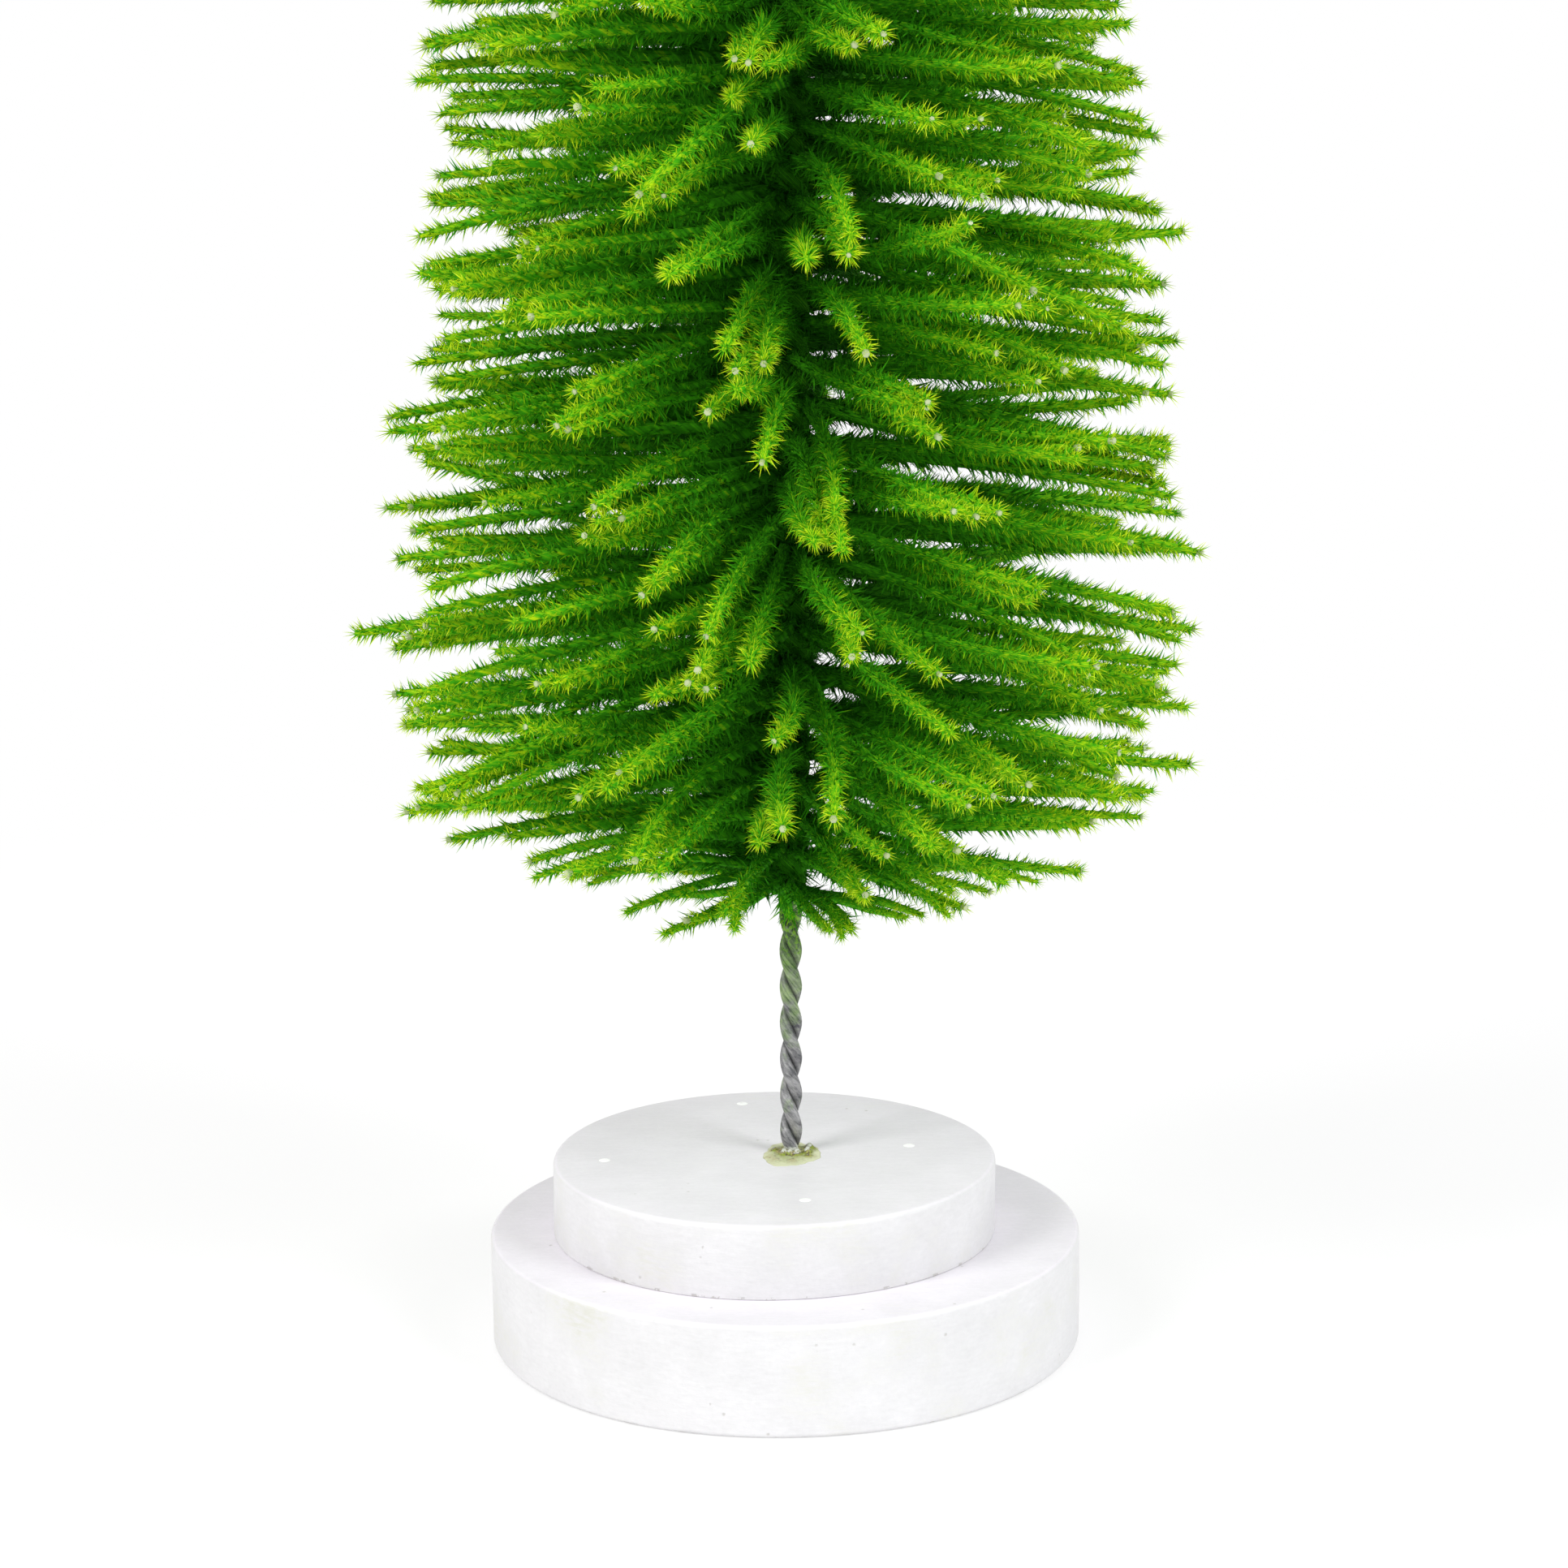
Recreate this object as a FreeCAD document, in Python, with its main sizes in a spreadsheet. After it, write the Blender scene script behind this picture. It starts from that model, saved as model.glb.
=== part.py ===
import FreeCAD, Part
import math
import os
import random
import Sketcher

# A bottle brush Christmas tree that stands on a stepped wooden base.
# Two steel wires are twisted together into a trunk. Flocked filaments lie between
# them and are clamped by the twist, so each filament makes two opposite branches.
# The trunk is glued into a bore through both discs, and four brads hold the discs.
# Millimetres, +Z up, origin at the centre of the plinth's underside.

SIZES = [
    ("plinth_dia", 101.6, "lower disc"),
    ("plinth_height", 19.05, "lower disc"),
    ("cap_dia", 76.2, "upper disc"),
    ("cap_height", 12.7, "upper disc"),
    ("cap_shift_x", -1.8, "the cap was nailed on a little off centre"),
    ("cap_shift_y", -0.6, "the same, front to back"),
    ("rim_bevel", 0.8, "rims eased by sanding and paint"),
    ("nail_width", 1.6, "brad, cut from flat wire"),
    ("nail_depth", 1.4, "brad, front to back"),
    ("nail_length", 25.4, "brad"),
    ("nail_point", 0.5, "bevel at the brad's point"),
    ("nail_clearance", 0.05, "all round a brad in its hole"),
    ("wire_dia", 1.9, "each of the trunk's two wires"),
    ("twist_lead", 12.7, "height of one whole turn of the twist"),
    ("twist_start", -63.5, "degrees, direction of the first wire at the cap's top"),
    ("wire_gap", 0.14, "between the wires where nothing lies in the twist"),
    ("trunk_x", 1.25, "where the trunk meets the cap"),
    ("trunk_y", 0.7, "the same, front to back"),
    ("trunk_lean", 0.35, "degrees towards +X"),
    ("trunk_embed", 25.4, "depth of the trunk in the base"),
    ("bore_clearance", 0.4, "all round the trunk in its bore"),
    ("foot_clearance", 0.05, "below the trunk in its bore"),
    ("bare_length", 45.2, "trunk from the cap's top to the first filament"),
    ("trunk_height", 425.4, "trunk above the cap's top"),
    ("glue_length", 16.0, "glue bead, front to back"),
    ("glue_width", 10.6, "glue bead, side to side"),
    ("glue_height", 1.6, "glue bead"),
    ("glue_top_share", 0.62, "the bead's flat top against its edge"),
    ("glue_shift", -1.1, "the bead ran towards the front"),
    ("glue_clearance", 0.15, "between the bead and the wires"),
    ("filament_pitch", 1.85, "height between filaments along the trunk"),
    ("flock_dia", 3.5, "filament with its flock"),
    ("crushed_dia", 0.5, "filament where the wires clamp it"),
    ("clamp_clearance", 0.25, "between a clamped filament and each wire"),
    ("shoulder_reach", 7.0, "where the flock has its full size again"),
    ("crown_radius", 71.0, "longest branches"),
    ("skirt_radius", 22.0, "lowest branches"),
    ("skirt_height", 33.0, "from the lowest branches to the longest"),
    ("tip_radius", 7.0, "branches at the top"),
    ("crown_power", 1.55, "curve of the crown, where 1 is a cone"),
    ("droop", 4.0, "degrees, all branches"),
    ("skirt_droop", 5.0, "degrees more at the lowest branches"),
    ("droop_wander", 3.0, "degrees either way"),
    ("fan_wander", 4.0, "degrees either way, seen from above"),
    ("reach_wander_share", 0.09, "how much shorter a branch can be"),
]

# The brads' places on the cap, as shares of its radius.
NAIL_PLACE_SHARES = [(-0.148, 0.79), (-0.759, -0.06), (0.614, 0.115), (0.137, -0.65)]

# The glue bead's uneven edge, going round from +X, as shares of its half sizes.
GLUE_EDGE_SHARES = [0.94, 1.0, 0.86, 0.9, 0.8, 0.93, 1.0, 0.82, 0.97, 0.88, 1.0, 0.85]

# Facets of the wires: sides of a section, and steps in a turn of the bare trunk.
WIRE_SIDES = 5
BARE_STEPS = 8

TWIST_RADIUS = "(Sizes.wire_dia + Sizes.wire_gap / 2)"
TRUNK_BORE = f"2 * ({TWIST_RADIUS} + Sizes.bore_clearance)"


def make_sheet(doc):
    sheet = doc.addObject("Spreadsheet::Sheet", "Sizes")
    for row, (alias, value, note) in enumerate(SIZES, start=1):
        sheet.set(f"A{row}", str(value))
        sheet.setAlias(f"A{row}", alias)
        sheet.set(f"B{row}", note)
    doc.recompute()
    return sheet


def make_body(doc, label):
    body = doc.addObject("PartDesign::Body", label)
    body.Label = label
    return body


def add_feature(body, kind, name, sizes):
    """A feature of the body, with each property in sizes bound to its expression."""
    feature = body.newObject(kind, name)
    for property_name, text in sizes.items():
        feature.setExpression(property_name, text)
    return feature


def attach_level(body, feature, x, y, z):
    """Lays a feature on the body's own XY plane, shifted by three expressions."""
    planes = body.Origin.OriginFeatures
    feature.AttachmentSupport = [(next(p for p in planes if p.Role == "XY_Plane"), "")]
    feature.MapMode = "FlatFace"
    for axis, text in (("x", x), ("y", y), ("z", z)):
        feature.setExpression(f"AttachmentOffset.Base.{axis}", text)


def sketch_circle(body, name, diameter, x="0", y="0", z="0"):
    """A circle round the sketch's own origin, which lies at x, y and z in the body."""
    sketch = body.newObject("Sketcher::SketchObject", name)
    attach_level(body, sketch, x, y, z)
    width = sketch.evalExpression(diameter)
    outline = Part.Circle(FreeCAD.Vector(0, 0, 0), FreeCAD.Vector(0, 0, 1), width / 2)
    circle = sketch.addGeometry(outline)
    sketch.addConstraint(Sketcher.Constraint("Coincident", circle, 3, -1, 1))
    held = sketch.addConstraint(Sketcher.Constraint("Diameter", circle, width))
    sketch.setExpression(f"Constraints[{held}]", diameter)
    return sketch


def pad_disc(body, diameter, height):
    outline = sketch_circle(body, f"{body.Label}_outline", diameter)
    disc = add_feature(body, "PartDesign::Pad", f"{body.Label}_disc", {"Length": height})
    disc.Profile = outline
    body.Document.recompute()
    return disc


def bevel_edges(body, feature, size, levels):
    """Bevels the feature's edges that lie level at one of these heights."""
    edges = [
        f"Edge{number}"
        for number, edge in enumerate(feature.Shape.Edges, start=1)
        for level in levels
        if math.isclose(edge.BoundBox.ZMin, level, abs_tol=edge.Tolerance * 2)
        and math.isclose(edge.BoundBox.ZMax, level, abs_tol=edge.Tolerance * 2)
    ]
    bevel = add_feature(body, "PartDesign::Chamfer", f"{body.Label}_bevel", {"Size": size})
    bevel.Base = (feature, edges)
    body.Document.recompute()


def bore_for_trunk(body, x, y, top, depth):
    circle = sketch_circle(body, f"{body.Label}_foot_circle", TRUNK_BORE, x, y, top)
    cut = add_feature(body, "PartDesign::Pocket", f"{body.Label}_foot_bore", {"Length": depth})
    cut.Profile = circle
    body.Document.recompute()


def nail_boxes(body, kind, clearance, x, y, top):
    """A box at each brad's place, hanging from the height top, to add or to cut."""
    for number, (x_share, y_share) in enumerate(NAIL_PLACE_SHARES, start=1):
        sizes = {
            "Length": f"Sizes.nail_width + 2 * {clearance}",
            "Width": f"Sizes.nail_depth + 2 * {clearance}",
            "Height": f"Sizes.nail_length + {clearance}",
        }
        box = add_feature(body, kind, f"{body.Label}_nail_{number}", sizes)
        left = f"{x} + Sizes.cap_dia / 2 * ({x_share}) - Sizes.nail_width / 2 - {clearance}"
        front = f"{y} + Sizes.cap_dia / 2 * ({y_share}) - Sizes.nail_depth / 2 - {clearance}"
        attach_level(body, box, left, front, f"{top} - Sizes.nail_length - {clearance}")
        body.Document.recompute()


def place_on_base(thing, x, y, z):
    thing.setExpression("Placement.Base.x", x)
    thing.setExpression("Placement.Base.y", y)
    thing.setExpression("Placement.Base.z", z)


def make_plinth(doc, size):
    """The lower disc, bored for the trunk's foot and for the brads' points."""
    body = make_body(doc, "base_plinth")
    disc = pad_disc(body, "Sizes.plinth_dia", "Sizes.plinth_height")
    bevel_edges(body, disc, "Sizes.rim_bevel", [0, size.plinth_height])
    depth = "Sizes.trunk_embed + Sizes.foot_clearance - Sizes.cap_height"
    bore_for_trunk(body, "Sizes.trunk_x", "Sizes.trunk_y", "Sizes.plinth_height", depth)
    top = "Sizes.plinth_height + Sizes.cap_height"
    shift = ("Sizes.cap_shift_x", "Sizes.cap_shift_y")
    nail_boxes(body, "PartDesign::SubtractiveBox", "Sizes.nail_clearance", *shift, top)
    return body


def make_cap(doc, size):
    """The upper disc, drilled right through for the trunk and the brads."""
    body = make_body(doc, "base_cap")
    disc = pad_disc(body, "Sizes.cap_dia", "Sizes.cap_height")
    bevel_edges(body, disc, "Sizes.rim_bevel", [size.cap_height])
    foot_x = "Sizes.trunk_x - Sizes.cap_shift_x"
    foot_y = "Sizes.trunk_y - Sizes.cap_shift_y"
    top = "Sizes.cap_height"
    bore_for_trunk(body, foot_x, foot_y, top, top)
    nail_boxes(body, "PartDesign::SubtractiveBox", "Sizes.nail_clearance", "0", "0", top)
    place_on_base(body, "Sizes.cap_shift_x", "Sizes.cap_shift_y", "Sizes.plinth_height")
    return body


def make_nails(doc, size):
    """Four alike brads in one group, driven flush with the cap's top."""
    body = make_body(doc, "brad_nails")
    body.AllowCompound = True
    nail_boxes(body, "PartDesign::AdditiveBox", "0", "0", "0", "Sizes.cap_height")
    points = [size.cap_height - size.nail_length]
    bevel_edges(body, body.Tip, "Sizes.nail_point", points)
    place_on_base(body, "Sizes.cap_shift_x", "Sizes.cap_shift_y", "Sizes.plinth_height")
    return body


def polyhedron(sections):
    """A closed solid through polygons whose matching edges are parallel."""
    ends = (sections[0], sections[-1])
    faces = [Part.Face(Part.makePolygon(end + end[:1])) for end in ends]
    for near, far in zip(sections, sections[1:]):
        corners = zip(near, near[1:] + near[:1], far[1:] + far[:1], far)
        for a, b, c, d in corners:
            faces.append(Part.Face(Part.makePolygon([a, b, c, d, a])))
    shell = Part.Shell(faces)
    shell.sewShape()
    return Part.Solid(shell)


def feature_at_foot(doc, size, label, shape, lean_angle):
    """A finished shape whose origin goes to the trunk's foot, leaning by an angle."""
    thing = doc.addObject("Part::Feature", label)
    thing.Label = label
    thing.Shape = shape
    foot_height = size.plinth_height + size.cap_height
    foot = FreeCAD.Vector(size.trunk_x, size.trunk_y, foot_height)
    lean = FreeCAD.Rotation(FreeCAD.Vector(0, 1, 0), lean_angle)
    thing.Placement = FreeCAD.Placement(foot, lean)
    return thing


def make_glue(doc, size):
    """The bead of glue round the trunk's foot: a low uneven mound with a hole."""
    sections = []
    for share, height in ((1, 0), (size.glue_top_share, size.glue_height)):
        across = FreeCAD.Vector(size.glue_width / 2 * share, 0, 0)
        along = FreeCAD.Vector(0, size.glue_length / 2 * share, 0)
        centre = FreeCAD.Vector(0, size.glue_shift, height)
        corners = []
        for number, edge_share in enumerate(GLUE_EDGE_SHARES):
            turn = math.tau * number / len(GLUE_EDGE_SHARES)
            outward = across * math.cos(turn) + along * math.sin(turn)
            corners.append(centre + outward * edge_share)
        sections.append(corners)
    mound = polyhedron(sections)
    hole_radius = size.wire_dia + size.wire_gap / 2 + size.glue_clearance
    hole = Part.makeCylinder(hole_radius, size.glue_height)
    return feature_at_foot(doc, size, "glue_bead", mound.cut(hole), 0)


def twist_angle(size, height):
    """Direction from the axis to the first wire. The twist is left handed."""
    return math.radians(size.twist_start) - math.tau * height / size.twist_lead


def filament_heights(size):
    """Heights above the cap's top at which the twist clamps a filament."""
    count = int((size.trunk_height - size.bare_length) / size.filament_pitch)
    return [size.bare_length + size.filament_pitch * (n + 0.5) for n in range(count)]


def wire_stations(size):
    """Heights and twist radii of the wires' path, one station at each filament."""
    bare_span = size.trunk_embed + size.bare_length
    bare_count = math.ceil(bare_span / size.twist_lead * BARE_STEPS)
    bare_step = bare_span / bare_count
    bare_radius = (size.wire_dia + size.wire_gap) / 2
    clamp_radius = (size.wire_dia + size.crushed_dia) / 2 + size.clamp_clearance
    stations = [
        (bare_step * n - size.trunk_embed, bare_radius) for n in range(bare_count + 1)
    ]
    stations += [(height, clamp_radius) for height in filament_heights(size)]
    stations.append((size.trunk_height, clamp_radius))
    return stations


def make_wire(doc, size, label, opposite):
    """One wire of the twist, a section that is carried round the axis as it climbs."""
    sections = []
    for height, twist_radius in wire_stations(size):
        angle = twist_angle(size, height) + opposite
        x = twist_radius * math.cos(angle)
        y = twist_radius * math.sin(angle)
        corners = [math.tau * side / WIRE_SIDES for side in range(WIRE_SIDES)]
        radius = size.wire_dia / 2
        sections.append(
            [
                FreeCAD.Vector(x + radius * math.cos(c), y + radius * math.sin(c), height)
                for c in corners
            ]
        )
    return feature_at_foot(doc, size, label, polyhedron(sections), size.trunk_lean)


def crown_reach(size, height):
    """Length of the longest branch that leaves the trunk at this height."""
    above_skirt = height - size.bare_length - size.skirt_height
    if above_skirt < 0:
        rise = 1 - (above_skirt / size.skirt_height) ** 2
        return size.skirt_radius + (size.crown_radius - size.skirt_radius) * rise
    crown_height = size.trunk_height - size.bare_length - size.skirt_height
    narrowing = 1 - (above_skirt / crown_height) ** size.crown_power
    return size.tip_radius + (size.crown_radius - size.tip_radius) * narrowing


def droop_angle(size, height):
    """Degrees below level: more at the lowest branches than above the skirt."""
    depth = max(0, 1 - (height - size.bare_length) / size.skirt_height)
    return size.droop + size.skirt_droop * depth**3


def make_filament(size, number, height):
    """One filament: flocked branch, shoulder, clamped middle, shoulder and branch."""
    chance = random.Random(number)
    across = twist_angle(size, height) + math.pi / 2
    along = FreeCAD.Vector(math.cos(across), math.sin(across), 0)
    aside = FreeCAD.Vector(-along.y, along.x, 0)
    upward = FreeCAD.Vector(0, 0, 1)
    middle = upward * height

    def section(centre, diameter):
        half = diameter / 2
        return [centre + way * half for way in (upward, aside, -upward, -aside)]

    sections = [section(middle, size.crushed_dia)]
    for way in (1, -1):
        shoulder = middle + along * way * size.shoulder_reach
        reach = crown_reach(size, height) * (1 - size.reach_wander_share * chance.random())
        fan = math.radians(size.fan_wander * chance.uniform(-1, 1))
        sag = math.radians(
            droop_angle(size, height) + size.droop_wander * chance.uniform(-1, 1)
        )
        free = max(reach - size.shoulder_reach, size.flock_dia)
        outward = along * way + aside * math.tan(fan) - upward * math.tan(sag)
        branch = [section(shoulder, size.flock_dia)]
        branch.append(section(shoulder + outward * free, size.flock_dia))
        sections = branch[::-1] + sections if way < 0 else sections + branch
    return polyhedron(sections)


def make_bristles(doc, size):
    """A group of filaments for each turn of the twist, from the lowest one up."""
    turns = {}
    for number, height in enumerate(filament_heights(size)):
        turn = int((height - size.bare_length) / size.twist_lead) + 1
        turns.setdefault(turn, []).append(make_filament(size, number, height))
    groups = [
        (f"bristle_turn_{turn:02d}", Part.Compound(filaments))
        for turn, filaments in turns.items()
    ]
    return [
        feature_at_foot(doc, size, label, group, size.trunk_lean) for label, group in groups
    ]


def check(doc, pieces):
    doc.recompute()
    for thing in doc.Objects:
        if {"Invalid", "Error"} & set(thing.State):
            raise RuntimeError(f"{thing.Label} has failed: {thing.State}")
    for piece in pieces:
        if piece.Shape.isNull() or not piece.Shape.isValid():
            raise RuntimeError(f"{piece.Label} has no valid shape")


def main():
    doc = FreeCAD.newDocument("bottle_brush_tree")
    size = make_sheet(doc)
    pieces = [make_plinth(doc, size), make_cap(doc, size), make_nails(doc, size)]
    pieces.append(make_glue(doc, size))
    pieces.append(make_wire(doc, size, "trunk_wire_a", 0))
    pieces.append(make_wire(doc, size, "trunk_wire_b", math.pi))
    pieces += make_bristles(doc, size)
    check(doc, pieces)
    os.makedirs("parts", exist_ok=True)
    for piece in pieces:
        piece.Shape.exportStep(f"parts/{piece.Label}.step")
        solids = piece.Shape.Solids
        volume = sum(solid.Volume for solid in solids)
        print(f"{piece.Label}: {len(solids)} solids, {volume:.1f} cubic mm")


main()
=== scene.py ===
import math
import random

import bpy
from mathutils import Matrix, Vector


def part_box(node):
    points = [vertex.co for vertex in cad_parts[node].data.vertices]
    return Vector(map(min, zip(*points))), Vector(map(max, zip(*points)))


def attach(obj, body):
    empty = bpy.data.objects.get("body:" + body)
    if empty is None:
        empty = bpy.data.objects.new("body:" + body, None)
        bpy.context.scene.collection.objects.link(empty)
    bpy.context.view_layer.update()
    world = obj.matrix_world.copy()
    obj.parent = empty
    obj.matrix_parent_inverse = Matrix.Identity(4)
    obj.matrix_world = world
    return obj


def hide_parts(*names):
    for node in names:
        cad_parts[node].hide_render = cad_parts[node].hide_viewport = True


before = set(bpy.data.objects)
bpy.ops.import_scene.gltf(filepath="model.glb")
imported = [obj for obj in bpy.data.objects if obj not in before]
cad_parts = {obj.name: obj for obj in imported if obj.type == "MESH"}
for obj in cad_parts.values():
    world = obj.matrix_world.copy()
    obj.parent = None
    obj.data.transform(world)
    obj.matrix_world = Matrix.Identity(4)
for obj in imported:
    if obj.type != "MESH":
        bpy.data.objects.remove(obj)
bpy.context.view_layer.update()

# The camera stands in front of the tree, halfway up it, and looks down a little. Its
# place and lens were worked out from the rims of the base's two discs in the
# photograph, so the crown's upper half lies above the frame as it does there.
MM = 0.001
CAMERA_PLACE = Vector((0.6, -619.9, 229.7)) * MM
CAMERA_PITCH = math.radians(12.11)
CAMERA_ROLL = math.radians(-0.55)
FOCAL_LENGTH = 86.5
SENSOR_WIDTH = 36.0


def put_in_scene(name, data):
    """A new object that shows this mesh, lamp or camera."""
    holder = bpy.data.objects.new(name, data)
    bpy.context.collection.objects.link(holder)
    return holder


camera_data = bpy.data.cameras.new("studio_camera")
camera_data.lens = FOCAL_LENGTH
camera_data.sensor_width = SENSOR_WIDTH
camera_data.clip_start = 10 * MM
camera = put_in_scene("studio_camera", camera_data)
camera.matrix_world = (
    Matrix.Translation(CAMERA_PLACE)
    @ Matrix.Rotation(math.pi / 2 - CAMERA_PITCH, 4, "X")
    @ Matrix.Rotation(CAMERA_ROLL, 4, "Z")
)
bpy.context.scene.camera = camera
bpy.context.scene.view_settings.view_transform = "Standard"


# The studio is a white table top that runs back into white, with one wide soft lamp
# each side of the camera. The two lamps give the trunk its pair of faint shadows.
FLOOR_HALF_SIZE = 3.0
FLOOR_DROP = 0.1 * MM
FLOOR_WHITE = (0.94, 0.94, 0.94, 1.0)
FLOOR_NEAR = 0.1
FLOOR_FAR = 0.45
NEAR_WHITE_SHARE = 0.62
SKY_WHITE = (1.0, 1.0, 1.0, 1.0)
SKY_STRENGTH = 0.68
LAMP_SIZE = 0.7
LAMPS = [
    (Vector((-1.2, -0.93, 1.22)), 21.2, (1.0, 0.988, 0.985)),
    (Vector((1.2, -0.93, 1.22)), 20.1, (0.972, 0.986, 1.0)),
]
LAMP_AIM = Vector((0.0, 0.0, 0.15))


class Reading:
    """The output of a node, which sums and products in Python turn into Math nodes."""

    def __init__(self, bench, socket):
        self.bench = bench
        self.socket = socket

    def worked(self, operation, *values):
        sockets = dict(enumerate(values or [self]))
        return self.bench.add("ShaderNodeMath", sockets, operation=operation)

    def __add__(self, other):
        return self.worked("ADD", self, other)

    def __sub__(self, other):
        return self.worked("SUBTRACT", self, other)

    def __rsub__(self, other):
        return self.worked("SUBTRACT", other, self)

    def __mul__(self, other):
        return self.worked("MULTIPLY", self, other)

    def __truediv__(self, other):
        return self.worked("DIVIDE", self, other)

    def __rtruediv__(self, other):
        return self.worked("DIVIDE", other, self)

    __radd__ = __add__
    __rmul__ = __mul__

    def at_least(self, other):
        return self.worked("MAXIMUM", self, other)

    def at_most(self, other):
        return self.worked("MINIMUM", self, other)

    def beyond(self, other):
        return self.worked("GREATER_THAN", self, other)

    def other(self, name):
        """Another output of the same node."""
        return Reading(self.bench, self.socket.node.outputs[name])


class Bench:
    """One node tree in the making, for a finish or for a shape."""

    def __init__(self, tree, material=None):
        self.tree = tree
        self.material = material
        tree.nodes.clear()

    def add(self, kind, sockets=None, output=0, **settings):
        """A node of this kind, set up and connected. Returns one of its outputs."""
        node = self.tree.nodes.new(kind)
        for name, value in settings.items():
            setattr(node, name, value)
        for name, value in (sockets or {}).items():
            self.join(value, node.inputs[name])
        return Reading(self, node.outputs[output]) if node.outputs else None

    def join(self, value, socket):
        if isinstance(value, Reading):
            self.tree.links.new(value.socket, socket)
        else:
            socket.default_value = value

    def blend(self, share, first, second):
        """The colour first where share is 0 and second where it is 1."""
        sockets = {0: share, 6: first, 7: second}
        return self.add("ShaderNodeMix", sockets, 2, data_type="RGBA")

    def place(self):
        return self.add("ShaderNodeTexCoord", output="Object")

    def attribute(self, name, output="Fac"):
        return self.add("ShaderNodeAttribute", None, output, attribute_name=name)

    def part(self, vector, axis):
        return self.add("ShaderNodeSeparateXYZ", {0: vector}, axis)

    def scaled(self, vector, scales):
        """The vector with each part multiplied, which makes a pattern finer along it."""
        return self.add("ShaderNodeVectorMath", {0: vector, 1: scales}, operation="MULTIPLY")

    def noise(self, where, scale, detail=2.0, roughness=0.5):
        sockets = {"Vector": where, "Scale": scale, "Detail": detail, "Roughness": roughness}
        return self.add("ShaderNodeTexNoise", sockets)

    def ramp(self, share, stops):
        ramp = self.add("ShaderNodeValToRGB", {"Fac": share})
        elements = ramp.socket.node.color_ramp.elements
        while len(elements) < len(stops):
            elements.new(1.0)
        for element, (place, colour) in zip(elements, stops):
            element.position = place
            element.color = (*colour, 1.0)
        return ramp

    def spread(self, value, low, high, to_low=0.0, to_high=1.0):
        """The value with low to high carried to a new range, and held at its ends."""
        sockets = {0: value, 1: low, 2: high, 3: to_low, 4: to_high}
        return self.add("ShaderNodeMapRange", sockets)

    def relief(self, height, strength, distance):
        sockets = {"Height": height, "Strength": strength, "Distance": distance}
        return self.add("ShaderNodeBump", sockets)

    def finished(self, sockets, shader="ShaderNodeBsdfPrincipled"):
        """The bench's material, once its surface is this shader with these sockets."""
        surface = self.add(shader, sockets)
        self.add("ShaderNodeOutputMaterial", {"Surface": surface})
        return self.material


def new_finish(name):
    material = bpy.data.materials.new(name)
    material.use_nodes = True
    return Bench(material.node_tree, material)


def new_mesh(name, vertices, faces=(), edges=(), smooth=False):
    mesh = bpy.data.meshes.new(name)
    mesh.from_pydata(vertices, edges, faces)
    if smooth:
        mesh.polygons.foreach_set("use_smooth", [True] * len(faces))
    return mesh


def make_floor_finish():
    """White, shown as plain white far off and partly so near by, for a faint shadow."""
    bench = new_finish("table_white")
    where = bench.place()
    white = bench.blend(bench.noise(where, 3.0) * 0.1, FLOOR_WHITE, SKY_WHITE)
    plain = bench.add("ShaderNodeBsdfDiffuse", {"Color": white})
    shown = bench.add("ShaderNodeEmission", {"Color": SKY_WHITE, "Strength": 1.0})
    away = bench.add("ShaderNodeVectorMath", {0: where}, "Value", operation="LENGTH")
    white_share = bench.spread(away, FLOOR_NEAR, FLOOR_FAR, NEAR_WHITE_SHARE, 1.0)
    seen = bench.add("ShaderNodeLightPath", output="Is Camera Ray")
    share = seen.at_least(seen.other("Is Glossy Ray")) * white_share
    return bench.finished({0: share, 1: plain, 2: shown}, "ShaderNodeMixShader")


def make_floor():
    size, drop = FLOOR_HALF_SIZE, -FLOOR_DROP
    signs = [(-1, -1), (1, -1), (1, 1), (-1, 1)]
    mesh = new_mesh("table_top", [(x * size, y * size, drop) for x, y in signs], [(0, 1, 2, 3)])
    mesh.materials.append(make_floor_finish())
    put_in_scene("table_top", mesh)


def make_sky():
    world = bpy.data.worlds.new("studio_white")
    world.use_nodes = True
    bpy.context.scene.world = world
    bench = Bench(world.node_tree)
    path = bench.add("ShaderNodeLightPath", output="Is Camera Ray")
    seen = path.at_least(path.other("Is Glossy Ray"))
    seen = seen.at_least(path.other("Is Transmission Ray"))
    strength = seen * (1.0 - SKY_STRENGTH) + SKY_STRENGTH
    sky = bench.add("ShaderNodeBackground", {"Color": SKY_WHITE, "Strength": strength})
    bench.add("ShaderNodeOutputWorld", {"Surface": sky})


def make_lamps():
    for number, (place, watts, colour) in enumerate(LAMPS, start=1):
        name = f"soft_lamp_{number}"
        lamp = bpy.data.lights.new(name, "AREA")
        lamp.size = LAMP_SIZE
        lamp.energy = watts
        lamp.color = colour
        facing = (LAMP_AIM - place).to_track_quat("-Z", "Y").to_matrix().to_4x4()
        put_in_scene(name, lamp).matrix_world = Matrix.Translation(place) @ facing


make_floor()
make_sky()
make_lamps()


# The base is two turned wooden discs, the smaller nailed and glued on the larger.
# They are brushed with thick white paint, which rounds the rims, dries in fine level
# ripples round the sides and leaves pits and a broken line where the discs meet. The
# sides are coloured darker than the tops as painted shade.
RIM_ROUNDING = 0.85 * MM
JOINT_ROUNDING = 0.25 * MM
JOINT_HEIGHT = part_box("base_plinth")[1][2]
CHIP_BAND = 0.36 * MM
RIM_STEPS = 6
DISC_SEGMENTS = 288
DISC_WOBBLE = 0.16 * MM
PAINT_WHITE = (0.842, 0.823, 0.852, 1.0)
PAINT_SHADE = (0.725, 0.709, 0.733, 1.0)
SIDE_SHADE_TINT = (0.84, 0.853, 0.838, 1.0)
TOP_TINT = (0.99, 0.974, 1.005, 1.0)
PAINT_SMUDGE = (0.7, 0.69, 0.62, 1.0)
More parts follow.
